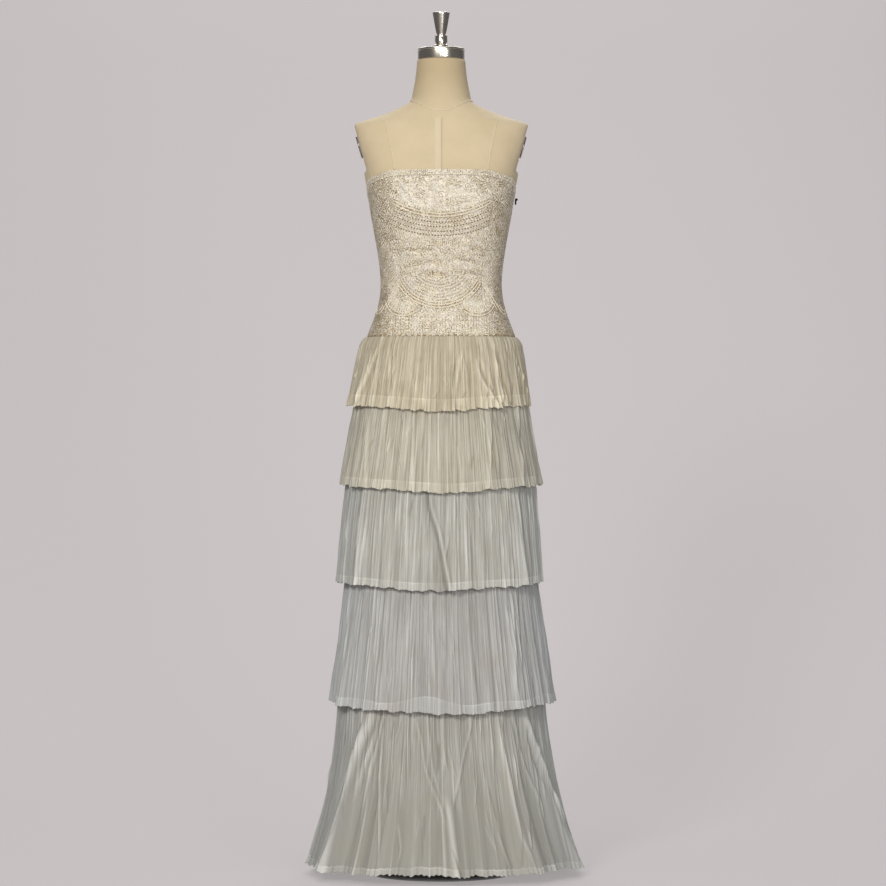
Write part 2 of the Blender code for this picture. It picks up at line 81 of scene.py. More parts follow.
# The dress form's horizontal sections: height, half width, depth in front, depth behind, squareness
FORM_SECTIONS = (
    (0.87, 0.149, 0.096, 0.108, 2.3),
    (0.884, 0.156, 0.1015, 0.114, 2.3),
    (0.93, 0.161, 0.105, 0.12, 2.3),
    (0.97, 0.1625, 0.106, 0.122, 2.3),
    (1.03, 0.156, 0.103, 0.118, 2.3),
    (1.0705, 0.147, 0.099, 0.1105, 2.3),
    (1.105, 0.1343, 0.094, 0.099, 2.25),
    (1.14, 0.1236, 0.088, 0.088, 2.2),
    (1.175, 0.1194, 0.085, 0.082, 2.2),
    (1.21, 0.1216, 0.0885, 0.083, 2.2),
    (1.25, 0.1272, 0.0975, 0.088, 2.3),
    (1.29, 0.1345, 0.109, 0.095, 2.4),
    (1.325, 0.1406, 0.117, 0.1005, 2.5),
    (1.357, 0.1455, 0.1175, 0.1045, 2.5),
    (1.387, 0.1515, 0.112, 0.106, 2.5),
    (1.41, 0.156, 0.105, 0.1065, 2.5),
    (1.435, 0.164, 0.0965, 0.1055, 2.4),
    (1.46, 0.171, 0.0895, 0.1025, 2.2),
    (1.48, 0.175, 0.0845, 0.0985, 2.0),
    (1.492, 0.1765, 0.0815, 0.095, 1.8),
    (1.5003, 0.165, 0.079, 0.092, 1.7),
    (1.5103, 0.131, 0.0755, 0.088, 1.7),
    (1.5203, 0.1045, 0.0715, 0.083, 1.75),
    (1.5303, 0.0815, 0.067, 0.0775, 1.85),
    (1.5413, 0.0628, 0.061, 0.071, 2.0),
    (1.558, 0.0575, 0.056, 0.063, 2.0),
    (1.59, 0.0515, 0.052, 0.053, 2.0),
    (1.6245, 0.048, 0.0487, 0.047, 2.0),
)
SLIP_SECTIONS = (
    (0.06, 0.204, 0.16, 0.178, 2.1),
    (0.4, 0.19, 0.142, 0.159, 2.1),
    (0.63, 0.18, 0.13, 0.146, 2.15),
    (0.82, 0.1715, 0.118, 0.134, 2.2),
    (0.97, 0.1629, 0.1064, 0.1224, 2.3),
)
SLIP_FREE_BELOW = 0.97

# Rows of the bodice that the neckline pulls down towards the sides: height in front, share of the pull
BODICE_ROWS = (
    (HIP_SEAM, 0.0),
    (1.105, 0.0),
    (1.14, 0.0),
    (1.175, 0.0),
    (1.21, 0.0),
    (1.25, 0.1),
    (1.29, 0.3),
    (1.325, 0.6),
    (1.357, 0.85),
    (NECKLINE_FRONT - BAND_HEIGHT, 1.0),
)

# Height of the strapless neckline around the body: turn, height
NECKLINE = (
    (0.0, 1.399),
    (0.45, 1.397),
    (0.6, 1.39),
    (0.75, 1.383),
    (0.88, 1.368),
    (1.0, 1.352),
    (1.5, 1.345),
    (2.0, 1.343),
)

# Bust of the form and bodice: two soft mounds on the front
BUST_LIFT = 0.01
BUST_APART = 0.076
BUST_HEIGHT = 1.327
BUST_REACH = 0.04

# The armholes are cut flat along leaning planes, which the arm plates cover
ARM_HEIGHT = 1.4513
ARM_REACH = 0.1618
ARM_LEAN = 0.283
ARM_PLATE_TALL = 0.046
ARM_PLATE_WIDE = 0.041
ARM_PLATE_THICK = 0.0035
ARM_RIM_SOFT = 0.0012

# Each tier: seam and hem heights, how far the hem dips in front, outer half widths under the seam and
# at the hem, bow between them, sway of the hem to the wearer's left, front depth as a share of half
# width at both, pleat depth at the hem
Tier = namedtuple("Tier", "name seam hem dip puff spread bow sway front_puff front_hem pleat seed")
TIERS = (
    Tier("tier_1", 1.0702, 0.936, 0.013, 0.1635, 0.185, 0.0, -0.004, 0.705, 0.755, 0.0055, 11),
    Tier("tier_2", 0.97, 0.778, 0.015, 0.1735, 0.204, 0.0, -0.001, 0.715, 0.775, 0.006, 23),
    Tier("tier_3", 0.82, 0.584, 0.013, 0.1895, 0.209, 0.001, -0.0025, 0.725, 0.785, 0.006, 37),
    Tier("tier_4", 0.63, 0.345, 0.014, 0.1915, 0.2275, -0.001, 0.002, 0.745, 0.8, 0.0065, 41),
    Tier("tier_5", 0.4, 0.02, 0.0, 0.206, 0.277, -0.013, 0.0065, 0.765, 0.825, 0.007, 59),
)

# Form that the tiers share: fullness behind, where the puff ends, squareness, pleats, gathers and hem waves
BACK_FULLER = 0.08
PUFF_SHARE = 0.12
SKIRT_SQUARE = 2.1
PLEATS_PER_TIER = 40
PLEAT_WANDER = 0.12
SHALLOW_PLEAT = 0.7
CREST_LOSS = 0.35
PLEAT_AT_SEAM = 0.5
GATHER_DEPTH = 0.003
HEM_WAVE = 0.0015
HEM_WAVES = 5
FOLD_SHARPNESS = 1.3


def per_tier(kind, table):
    """Rows of a table that is kept by tier, each with its tier's name in front."""
    return tuple(kind(tier, *row) for tier, rows in table.items() for row in rows)


# Large folds that stand out from the tiers: turn at seam and hem, reach to the wearer's right and
# left of the crest, and lift at the hem
Fold = namedtuple("Fold", "tier seam hem right left lift")
FOLDS = per_tier(Fold, {
    "tier_1": (
        (-0.67, -0.73, 0.1, 0.12, 0.006),
        (-0.12, -0.16, 0.12, 0.1, 0.005),
        (0.09, 0.07, 0.08, 0.14, 0.006),
        (0.35, 0.47, 0.16, 0.07, 0.009),
        (1.42, 1.5, 0.12, 0.12, 0.006),
        (2.1, 2.06, 0.14, 0.1, 0.007),
        (2.62, 2.54, 0.1, 0.12, 0.006),
    ),
    "tier_2": (
        (-0.6, -0.62, 0.12, 0.1, 0.006),
        (0.6, 0.64, 0.3, 0.06, 0.009),
        (1.55, 1.6, 0.12, 0.16, 0.007),
        (2.35, 2.42, 0.16, 0.12, 0.007),
    ),
    "tier_3": (
        (-0.59, -0.62, 0.1, 0.14, 0.008),
        (-0.06, 0.06, 0.07, 0.22, 0.011),
        (0.56, 0.62, 0.24, 0.06, 0.011),
        (1.6, 1.52, 0.14, 0.12, 0.009),
        (2.12, 2.2, 0.12, 0.14, 0.008),
        (2.7, 2.66, 0.12, 0.1, 0.007),
    ),
    "tier_4": (
        (-0.66, -0.72, 0.1, 0.12, 0.009),
        (-0.34, -0.38, 0.1, 0.1, 0.006),
        (0.06, 0.05, 0.14, 0.08, 0.007),
        (0.575, 0.56, 0.2, 0.06, 0.012),
        (1.45, 1.52, 0.12, 0.14, 0.009),
        (2.02, 1.98, 0.14, 0.12, 0.009),
        (2.55, 2.6, 0.12, 0.12, 0.009),
    ),
    "tier_5": (
        (-0.5, -0.66, 0.12, 0.1, 0.022),
        (-0.28, -0.34, 0.1, 0.1, 0.012),
        (0.03, 0.07, 0.14, 0.1, 0.02),
        (0.36, 0.46, 0.1, 0.12, 0.018),
        (0.6, 0.8, 0.12, 0.1, 0.016),
        (1.36, 1.3, 0.12, 0.12, 0.018),
        (1.72, 1.7, 0.12, 0.12, 0.02),
        (2.14, 2.1, 0.12, 0.14, 0.022),
        (2.52, 2.58, 0.12, 0.12, 0.02),
    ),
})

# What a tier's cloth adds to its solid: fine crinkles all round, rows of the sheet below its puff,
# shares of the drop between which crinkles die out and the share of them that lasts, how much more
# they stand out at the hem, depth of the turned-up hem, how much and how often its stitched edge
# waves, how much paler it is, and the cut of the cloth that shows
Cloth = namedtuple(
    "Cloth", "tier crinkles rows calm_from calm_to lasting ruffle hem_depth wave waves paler flat slot"
)
CLOTHS = (
    Cloth("tier_1", 132, 22, 0.5, 1.0, 0.85, 0.5, 0.023, 0.0012, 9, 0.22, (1.3, 0.165), "ivory_chiffon"),
    Cloth("tier_2", 150, 24, 0.5, 1.0, 0.9, 0.3, 0.018, 0.0008, 9, 0.23, (1.4, 0.215), "ivory_chiffon"),
    Cloth("tier_3", 150, 28, 0.4, 1.0, 0.8, 0.3, 0.015, 0.001, 9, 0.25, (1.45, 0.255), "grey_chiffon"),
    Cloth("tier_4", 150, 32, 0.3, 1.0, 0.75, 0.3, 0.021, 0.011, 9, 0.31, (1.5, 0.325), "grey_chiffon"),
    Cloth("tier_5", 186, 44, 0.2, 0.7, 0.3, 1.1, 0.013, 0.003, 37, 0.42, (1.75, 0.405), "grey_chiffon"),
)
TIER_COLUMNS = 1280

# Creases pressed into a tier, given one by one: half width and height, a trough below zero, how pale the
# crest is, partly folded cloth and partly painted highlight, below zero the painted shade of a trough, and
# the path as turns and shares of the drop
Crease = namedtuple("Crease", "tier width depth pale path")
CREASES = per_tier(Crease, {
    "tier_1": (
        (0.0042, 0.0034, 0.55, ((-0.588, 0.1), (-0.658, 0.487), (-0.735, 1.0))),
        (0.0022, -0.0026, -0.45, ((-0.57, 0.2), (-0.604, 0.45), (-0.65, 1.0))),
        (0.0028, 0.0024, 0.35, ((-0.489, 0.1), (-0.45, 0.45), (-0.421, 0.9))),
        (0.002, -0.0024, -0.4, ((-0.455, 0.1), (-0.425, 0.45), (-0.395, 0.8))),
        (0.003, 0.0024, 0.4, ((0.199, 0.12), (0.139, 0.6), (0.113, 1.0))),
        (0.002, -0.0026, -0.4, ((0.15, 0.2), (0.105, 0.6), (0.085, 1.0))),
        (0.003, 0.003, 0.45, ((0.3, 0.25), (0.346, 0.6), (0.473, 1.0))),
        (0.002, -0.0026, -0.4, ((0.34, 0.35), (0.385, 0.62), (0.505, 1.0))),
        (0.0026, 0.0026, 0.35, ((0.497, 0.3), (0.51, 0.6), (0.56, 1.0))),
        (0.0024, -0.003, -0.5, ((0.54, 0.2), (0.56, 0.6), (0.61, 1.0))),
        (0.003, 0.003, 0.3, ((0.7, 0.15), (0.753, 0.4), (0.951, 1.0))),
        (0.0026, 0.0022, 0.3, ((-0.182, 0.12), (-0.19, 0.6), (-0.192, 1.0))),
        (0.0024, -0.0024, -0.25, ((0.003, 0.15), (-0.01, 0.6), (-0.017, 1.0))),
        (0.0032, 0.003, 0.4, ((1.42, 0.1), (1.47, 0.55), (1.5, 1.0))),
        (0.0024, -0.0028, -0.4, ((1.62, 0.15), (1.66, 0.6), (1.7, 1.0))),
        (0.0032, 0.003, 0.4, ((2.1, 0.1), (2.08, 0.55), (2.05, 1.0))),
        (0.0024, -0.0028, -0.4, ((2.36, 0.15), (2.33, 0.6), (2.28, 1.0))),
        (0.003, 0.003, 0.4, ((2.62, 0.1), (2.58, 0.55), (2.52, 1.0))),
    ),
    "tier_2": (
        (0.003, 0.0024, 0.4, ((-0.235, 0.12), (-0.215, 0.55), (-0.192, 1.0))),
        (0.0022, -0.0034, -0.55, ((0.445, 0.12), (0.405, 0.55), (0.365, 0.9))),
        (0.0034, 0.003, 0.45, ((0.384, 0.45), (0.365, 0.8), (0.344, 1.0))),
        (0.0024, -0.0044, -0.7, ((0.725, 0.12), (0.68, 0.55), (0.625, 1.0))),
        (0.003, 0.003, 0.35, ((0.69, 0.12), (0.65, 0.55), (0.596, 1.0))),
        (0.003, 0.0028, 0.35, ((-0.64, 0.12), (-0.6, 0.55), (-0.56, 1.0))),
        (0.0024, -0.003, -0.45, ((-0.7, 0.12), (-0.665, 0.55), (-0.63, 1.0))),
        (0.0026, -0.0026, -0.35, ((1.8, 0.12), (1.83, 0.55), (1.86, 1.0))),
        (0.003, 0.0028, 0.35, ((2.35, 0.12), (2.39, 0.55), (2.42, 1.0))),
        (0.0024, -0.003, -0.45, ((2.58, 0.12), (2.62, 0.55), (2.66, 1.0))),
    ),
    "tier_3": (
        (0.003, 0.0034, 0.55,
         ((-0.08, 0.12), (-0.074, 0.27), (-0.055, 0.39), (-0.004, 0.56), (0.033, 0.77), (0.068, 1.0))),
        (0.0026, -0.0048, -0.75,
         ((-0.105, 0.12), (-0.1, 0.27), (-0.082, 0.39), (-0.031, 0.56), (0.006, 0.77), (0.043, 1.0))),
        (0.0036, 0.003, 0.5, ((-0.615, 0.12), (-0.608, 0.5), (-0.598, 1.0))),
        (0.0026, -0.0036, -0.6, ((-0.68, 0.12), (-0.674, 0.5), (-0.66, 1.0))),
        (0.0028, 0.003, 0.45, ((0.6, 0.12), (0.618, 0.5), (0.625, 1.0))),
        (0.0026, -0.005, -0.75, ((0.632, 0.12), (0.648, 0.5), (0.655, 1.0))),
        (0.0034, 0.0022, 0.35, ((-0.25, 0.12), (-0.245, 0.5), (-0.23, 0.95))),
        (0.0034, 0.0022, 0.35, ((0.15, 0.12), (0.17, 0.5), (0.185, 0.95))),
        (0.0028, -0.0036, -0.5, ((1.72, 0.12), (1.7, 0.5), (1.66, 1.0))),
        (0.0034, 0.003, 0.45, ((2.12, 0.12), (2.16, 0.5), (2.2, 1.0))),
        (0.0026, -0.0034, -0.5, ((2.36, 0.12), (2.4, 0.5), (2.44, 1.0))),
    ),
    "tier_4": (
        (0.0026, 0.0026, 0.6, ((-0.072, 0.12), (-0.068, 0.3), (-0.06, 0.6), (-0.05, 0.86))),
        (0.0034, 0.003, 0.5, ((-0.8, 0.15), (-0.76, 0.5), (-0.718, 0.9))),
        (0.0026, -0.0034, -0.5, ((-0.87, 0.15), (-0.83, 0.5), (-0.79, 1.0))),
        (0.0024, 0.0022, 0.4, ((-0.395, 0.12), (-0.39, 0.35), (-0.371, 0.88))),
        (0.0024, -0.0022, -0.3, ((-0.425, 0.12), (-0.42, 0.35), (-0.4, 0.8))),
        (0.0036, 0.003, 0.5, ((0.545, 0.12), (0.51, 0.5), (0.455, 0.95))),
        (0.0026, -0.0054, -0.75, ((0.625, 0.12), (0.58, 0.5), (0.535, 1.0))),
        (0.0028, 0.003, 0.4, ((0.93, 0.15), (0.9, 0.5), (0.86, 0.95))),
        (0.0026, -0.0026, -0.35, ((0.205, 0.15), (0.215, 0.5), (0.23, 0.9))),
        (0.003, -0.0036, -0.5, ((1.66, 0.12), (1.68, 0.5), (1.7, 1.0))),
        (0.0034, 0.0032, 0.5, ((2.02, 0.12), (2.0, 0.5), (1.98, 0.95))),
        (0.003, -0.0036, -0.5, ((2.22, 0.12), (2.25, 0.5), (2.28, 1.0))),
    ),
    "tier_5": (
        (0.0095, 0.0062, 1.0,
         ((-0.5, 0.1), (-0.511, 0.22), (-0.59, 0.38), (-0.628, 0.55), (-0.65, 0.74), (-0.648, 1.0))),
        (0.0034, -0.0046, -0.6,
         ((-0.54, 0.15), (-0.627, 0.38), (-0.667, 0.55), (-0.692, 0.74), (-0.69, 1.0))),
        (0.0036, 0.0034, 0.55, ((-0.427, 0.12), (-0.483, 0.35), (-0.533, 0.5), (-0.56, 0.66))),
        (0.003, 0.0034, 0.5, ((-0.385, 0.12), (-0.44, 0.32), (-0.485, 0.52), (-0.5, 0.72))),
        (0.0026, 0.0038, 0.65,
         ((-0.395, 0.2), (-0.408, 0.35), (-0.383, 0.63), (-0.345, 0.87), (-0.33, 0.96))),
        (0.0026, 0.0032, 0.5, ((-0.262, 0.74), (-0.236, 0.84), (-0.232, 0.9), (-0.25, 0.96))),
        (0.0026, 0.0032, 0.5,
         ((-0.185, 0.12), (-0.173, 0.23), (-0.137, 0.34), (-0.11, 0.47),
          (-0.06, 0.58), (-0.009, 0.69), (0.018, 0.8))),
        (0.0024, 0.003, 0.45,
         ((-0.105, 0.12), (-0.099, 0.23), (-0.079, 0.37), (-0.055, 0.5), (-0.01, 0.62))),
        (0.0038, 0.0036, 0.5, ((0.002, 0.1), (0.004, 0.22), (0.006, 0.42), (-0.008, 0.52))),
        (0.0024, 0.003, 0.45,
         ((0.205, 0.12), (0.192, 0.24), (0.128, 0.42), (0.082, 0.56), (0.036, 0.7))),
        (0.006, 0.0064, 1.0, ((0.012, 0.6), (0.03, 0.7), (0.042, 0.83), (0.056, 1.0))),
        (0.0034, 0.0034, 0.55, ((-0.018, 0.62), (-0.008, 0.75), (0.0, 0.88), (0.004, 1.0))),
        (0.0022, -0.0044, -0.8, ((0.038, 0.86), (0.06, 0.93), (0.082, 1.0))),
        (0.0026, -0.0036, -0.6, ((-0.03, 0.33), (-0.028, 0.42), (-0.034, 0.5))),
        (0.003, 0.0036, 0.6,
         ((0.375, 0.12), (0.384, 0.33), (0.404, 0.48), (0.41, 0.67), (0.428, 0.85), (0.48, 0.96))),
        (0.0026, 0.0028, 0.45, ((0.255, 0.12), (0.253, 0.3), (0.251, 0.42), (0.262, 0.6))),
        (0.0026, 0.0028, 0.45, ((0.325, 0.12), (0.328, 0.28), (0.334, 0.44))),
        (0.0026, 0.0026, 0.4, ((0.3, 0.78), (0.32, 0.88), (0.35, 0.97))),
        (0.007, 0.0066, 1.0,
         ((0.59, 0.1), (0.615, 0.22), (0.69, 0.43), (0.77, 0.63), (0.85, 0.82), (0.88, 1.0))),
        (0.0024, 0.003, 0.4, ((0.5, 0.12), (0.53, 0.35), (0.59, 0.55), (0.66, 0.74))),
        (0.0024, -0.0054, -0.85, ((0.645, 0.18), (0.676, 0.34), (0.732, 0.52), (0.78, 0.64))),
        (0.0022, -0.005, -0.8, ((0.69, 0.18), (0.722, 0.36), (0.778, 0.54), (0.822, 0.66))),
        (0.0022, -0.0046, -0.7, ((0.605, 0.26), (0.64, 0.42), (0.69, 0.58))),
        (0.003, -0.005, -0.7, ((-0.78, 0.1), (-0.745, 0.35), (-0.735, 0.6), (-0.725, 0.9))),
        (0.0024, 0.0028, 0.4, ((-0.24, 0.12), (-0.228, 0.3), (-0.215, 0.55))),
        (0.007, 0.005, 0.8, ((1.36, 0.1), (1.33, 0.5), (1.3, 1.0))),
        (0.0034, 0.0038, 0.6, ((1.56, 0.12), (1.6, 0.4), (1.66, 0.75))),
        (0.0024, -0.0048, -0.7, ((1.48, 0.15), (1.46, 0.5), (1.42, 0.95))),
        (0.0064, 0.005, 0.8, ((1.84, 0.1), (1.86, 0.5), (1.92, 1.0))),
        (0.0034, 0.0038, 0.6, ((2.16, 0.12), (2.1, 0.45), (2.0, 0.8))),
        (0.0064, 0.005, 0.8, ((2.2, 0.3), (2.24, 0.6), (2.34, 1.0))),
        (0.0034, 0.0038, 0.6, ((2.44, 0.12), (2.4, 0.45), (2.44, 0.8))),
        (0.007, 0.005, 0.8, ((2.6, 0.1), (2.66, 0.5), (2.7, 1.0))),
    ),
})

# Small creases strewn over each tier
SHORT_CREASES = {"tier_1": 50, "tier_2": 30, "tier_3": 30, "tier_4": 30, "tier_5": 110}

# Parts of a tier that are set back and shaded: turns between which they lie at the seam and at the
# hem, and how dark they are
Shade = namedtuple("Shade", "tier seam_a hem_a seam_b hem_b dark")
SHADES = per_tier(Shade, {
    "tier_1": (
        (-1.05, -1.0, -0.62, -0.76, 0.12),
        (0.54, 0.6, 1.05, 1.05, 0.16),
    ),
    "tier_2": (
        (0.44, 0.37, 0.71, 0.61, 0.34),
        (0.71, 0.61, 1.1, 1.1, 0.3),
        (-1.1, -1.05, -0.68, -0.65, 0.22),
    ),
    "tier_3": (
        (0.64, 0.655, 1.1, 1.1, 0.2),
        (-1.05, -1.05, -0.67, -0.66, 0.14),
        (-0.19, -0.02, -0.1, 0.05, 0.26),
    ),
    "tier_4": (
        (0.61, 0.53, 1.1, 1.05, 0.18),
        (-1.05, -1.05, -0.86, -0.8, 0.1),
    ),
    "tier_5": (
        (-1.05, -0.95, -0.76, -0.78, 0.3),
        (0.42, 0.52, 0.58, 0.84, 0.14),
        (0.66, 0.92, 1.05, 1.15, 0.12),
    ),
})

# Painted shadow on one side of a pale crease, form of the crinkles and gathers, and unevenness of the hems
CREASE_SHADOW = 0.65
CRINKLE_SHARPNESS = 2.0
CRINKLE_LEVEL = 0.4
GATHER_BULGE = 0.002
HEM_RUFFLE_DIP = 0.0016
HEM_UNEVEN = 0.0009
HEM_RIPPLES = (17, 29, 43)
HEM_BAND_CRESTS = (-0.07, 1.2, 2.1, 2.9)
FRILL_DEPTH = 0.0011

# Rows of a hem: how far the plain cloth stops above the stitches, rows across the stitches as distance
# below them, set back and doubling, and rows round the folded edge as set back and drop
ABOVE_STITCHES = 0.006
STITCH_ROWS = ((-0.0022, 0.0002, 0.0), (-0.0006, 0.0003, 0.0), (0.0008, 0.0002, 2.0), (0.0028, 0.0, 1.1))
HEM_FOLD_ROWS = ((0.0005, 0.0007), (0.0012, 0.0007), (0.0017, -0.0009))

# Painted light of the grey room seen through the sheer sides of each tier: how strong it is on each
PAINTED_ROOM_LIGHT = {"tier_1": 0.0, "tier_2": 0.12, "tier_3": 0.45, "tier_4": 0.65, "tier_5": 0.5}

# Bodice panels: first and last seam, columns, rows, and the cut of the lace that shows
Panel = namedtuple("Panel", "name first last columns rows flat area")
PANELS = (
    Panel("bodice_front", -FRONT_SEAM, FRONT_SEAM, 166, 250, (0.215, 0.325), 0.06),
    Panel("bodice_side_front_left", FRONT_SEAM, SIDE_SEAM, 60, 170, (0.11, 0.32), 0.03),
    Panel("bodice_side_back_left", SIDE_SEAM, BACK_SEAM, 54, 150, (0.105, 0.29), 0.026),
    Panel("bodice_back", BACK_SEAM, 4 - BACK_SEAM, 120, 170, (0.21, 0.285), 0.051),
    Panel("bodice_side_back_right", 4 - BACK_SEAM, 4 - SIDE_SEAM, 54, 150, (0.105, 0.29), 0.026),
    Panel("bodice_side_front_right", 4 - SIDE_SEAM, 4 - FRONT_SEAM, 60, 170, (0.11, 0.32), 0.03),
)

# Arcs of raised double cord on the lace: which side its middle is on, distance of its middle from the
# middle of that side, height of its centre, radius, and the angles it runs between from straight down
Scallop = namedtuple("Scallop", "side middle height radius first last")
SCALLOPS = (
    Scallop("front", 0.0, 1.5015, 0.1965, -29.5, 29.5),
    Scallop("front", -0.004, 1.225, 0.098, -58, 58),
    Scallop("front", -0.077, 1.158, 0.047, -62, 38),
    Scallop("front", 0.073, 1.158, 0.047, -38, 62),
    Scallop("back", 0.0, 1.47, 0.18, -30, 30),
    Scallop("back", 0.0, 1.218, 0.09, -58, 58),
    Scallop("back", -0.071, 1.158, 0.047, -60, 38),
    Scallop("back", 0.071, 1.158, 0.047, -38, 60),
)
CORD_APART = 0.006
CORD_RADIUS = 0.001

# Rows of eyelets under the bust band, as distances beyond the band's arc
EYELET_ROWS = (0.011, 0.0198, 0.0286, 0.0366)
EYELET_PITCH = 0.0056
EYELET_HOLE = 0.0014
EYELET_THREAD = 0.00045

# Soft wrinkles of the bodice: distance from the middle of the front and height at both ends, half
# width, and depth
Wrinkle = namedtuple("Wrinkle", "s_a z_a s_b z_b width depth")
WRINKLES = (
    Wrinkle(-0.085, 1.205, -0.01, 1.214, 0.0045, -0.0016),
    Wrinkle(-0.06, 1.19, 0.03, 1.186, 0.005, -0.0014),
    Wrinkle(0.01, 1.222, 0.09, 1.212, 0.0045, -0.0016),
    Wrinkle(0.03, 1.196, 0.1, 1.188, 0.005, -0.0014),
    Wrinkle(-0.095, 1.232, -0.035, 1.24, 0.005, -0.0013),
    Wrinkle(0.045, 1.246, 0.098, 1.236, 0.0045, -0.0013),
    Wrinkle(-0.02, 1.236, 0.04, 1.242, 0.006, 0.001),
    Wrinkle(-0.06, 1.222, 0.0, 1.227, 0.006, 0.0011),
    Wrinkle(-0.09, 1.368, -0.06, 1.334, 0.005, -0.0012),
    Wrinkle(0.055, 1.386, 0.092, 1.352, 0.005, -0.0012),
)
WRINKLES_BEHIND = (
    Wrinkle(-0.08, 1.21, -0.005, 1.202, 0.005, -0.0015),
    Wrinkle(0.0, 1.19, 0.075, 1.197, 0.005, -0.0015),
    Wrinkle(-0.07, 1.18, 0.02, 1.176, 0.0055, -0.0013),
    Wrinkle(0.01, 1.222, 0.08, 1.228, 0.0055, -0.0013),
)

# Seam round the root of the form's neck, as an oval seen from above
NECK_SEAM_HALF = 0.0615
NECK_SEAM_FRONT = 0.0725
NECK_SEAM_BACK = 0.078

# Painted highlights of the bust and waist, where the lace is also glossier: distance from the middle and
# height, half width and height, strength
GLINTS = (
    (-0.07, 1.355, 0.01, 0.004, 0.9),
    (-0.058, 1.343, 0.008, 0.003, 0.6),
    (0.045, 1.33, 0.012, 0.0036, 0.9),
    (0.03, 1.346, 0.01, 0.003, 0.5),
    (-0.02, 1.334, 0.012, 0.003, 0.5),
    (-0.075, 1.364, 0.012, 0.006, 0.8),
    (-0.05, 1.338, 0.014, 0.006, 0.8),
    (0.066, 1.362, 0.012, 0.005, 0.7),
    (0.07, 1.316, 0.01, 0.007, 0.8),
    (0.052, 1.282, 0.01, 0.005, 0.7),
    (0.0, 1.297, 0.02, 0.003, 0.7),
    (0.002, 1.224, 0.014, 0.005, 0.75),
    (0.082, 1.222, 0.01, 0.005, 0.75),
    (-0.06, 1.236, 0.014, 0.004, 0.65),
    (0.04, 1.243, 0.016, 0.0035, 0.7),
)

# Brown stains: distance from the middle and height, size, strength
STAINS = (
    (0.02, 1.369, 0.0034, 0.6),
    (0.027, 1.366, 0.0026, 0.6),
    (0.037, 1.364, 0.003, 0.5),
    (-0.112, 1.366, 0.003, 0.5),
    (-0.016, 1.196, 0.0024, 0.6),
    (0.026, 1.262, 0.006, 0.3),
)

# Winding stitches of the ground, and the diamonds and stitches of the slanting work
SWIRL_PITCH = 0.006
HATCH_CELL = 0.038
HATCH_PITCH = 0.0067

# Zones of worked figures, each between two soft edges: three as distances beyond the arc of the bust
# band, the chevrons as heights, and the slanting ends as distances from the middle and heights
EYELET_ZONE = (0.0055, 0.007, 0.0395, 0.0405)
FRINGE_ZONE = (0.04, 0.0415, 0.054, 0.056)
RAY_ZONE = (-0.02, -0.018, -0.01, -0.0085)
CHEVRON_ZONE = (1.2, 1.21, 1.254, 1.262)
END_ACROSS = (0.082, 0.087, 0.116, 0.122)
END_HEIGHTS = (1.172, 1.176, 1.208, 1.214)

# Glossy ovals in front and behind: middle and height, half width and half height
FRONT_OVAL = (-0.006, 1.3436, 0.0905, 0.034)
BACK_OVAL = (0.0, 1.316, 0.08, 0.018)

# Metal fittings and hook
CAP_RADIUS = 0.047
CAP_HEIGHT = 0.0235
CAP_ROUND = 0.0024
KNOB_HEIGHT = 0.0718
HOOK_Z = 1.343
HOOK_THICK = 0.0026
HOOK_WIRE = 0.0016
HOOK_BEND = 0.0013
HOOK_EYE = 0.0015

# Outline of the knob from its top down its outer side: radius, share of its height
KNOB_OUTLINE = (
    (0.0, 0.982), (0.012, 0.982), (0.0148, 0.986), (0.0156, 0.997), (0.0164, 1.0), (0.0172, 0.994),
    (0.0174, 0.98), (0.0169, 0.94), (0.0152, 0.8), (0.0129, 0.62), (0.0109, 0.48), (0.0095, 0.4),
    (0.0091, 0.376), (0.0094, 0.364), (0.0118, 0.362), (0.0124, 0.354), (0.0125, 0.335),
    (0.0121, 0.322), (0.0121, 0.3), (0.0124, 0.29), (0.0124, 0.165), (0.0122, 0.15), (0.0114, 0.142),
    (0.0113, 0.12), (0.012, 0.105), (0.014, 0.085), (0.0147, 0.068), (0.0148, 0.05), (0.0148, 0.008),
    (0.0144, 0.0), (0.0, 0.0),
)

# Turned face of an arm plate: share of the plate's width, depth under its highest rings
ARM_PLATE_FACE = (
    (0.0, 0.0), (0.1, 0.0), (0.12, 0.0005), (0.15, 0.0005), (0.17, 0.0), (0.27, 0.0), (0.285, 0.0006),
    (0.315, 0.0006), (0.33, 0.0), (0.42, 0.0), (0.435, 0.0006), (0.455, 0.0006), (0.465, 0.0),
    (0.48, 0.0002), (0.494, 0.0008), (0.5, 0.0016),
)

# Camera: where the photograph was taken from
EYE_DISTANCE = 7.0
EYE_HEIGHT = 0.8593
EYE_ACROSS = 0.0036
SENSOR = 36.0
FRAME_WIDTH = 1.772


def smooth_step(low, high, value):
    """0 below low, 1 above high, and a smooth rise between."""
    share = np.clip((value - low) / (high - low), 0, 1)
    return share * share * (3 - 2 * share)


def soft_band(value, low, low_full, high_full, high):
    """1 between two places, 0 beyond, and a smooth rise and fall."""
    return smooth_step(low, low_full, value) * smooth_step(high, high_full, value)


def blend_rows(table, value):
    """Rows of a table at places along its first column, on a smooth curve through them."""
    rows = np.asarray(table, dtype=float)
    keys = rows[:, 0]
    value = np.clip(value, keys[0], keys[-1])
    after = np.clip(np.searchsorted(keys, value, side="right"), 1, len(keys) - 1)
    low = after - 1
    before = np.maximum(0, low - 1)
    beyond = np.minimum(len(keys) - 1, after + 1)
    span = (keys[after] - keys[low])[..., None]
    share = (value - keys[low])[..., None] / span
    low_slope = (rows[after] - rows[before]) / (keys[after] - keys[before])[..., None] * span
    high_slope = (rows[beyond] - rows[low]) / (keys[beyond] - keys[low])[..., None] * span
    step = rows[after] - rows[low]
    bend = (1 - share) * (low_slope - step) + share * (step - high_slope)
    return rows[low] + share * step + share * (1 - share) * bend


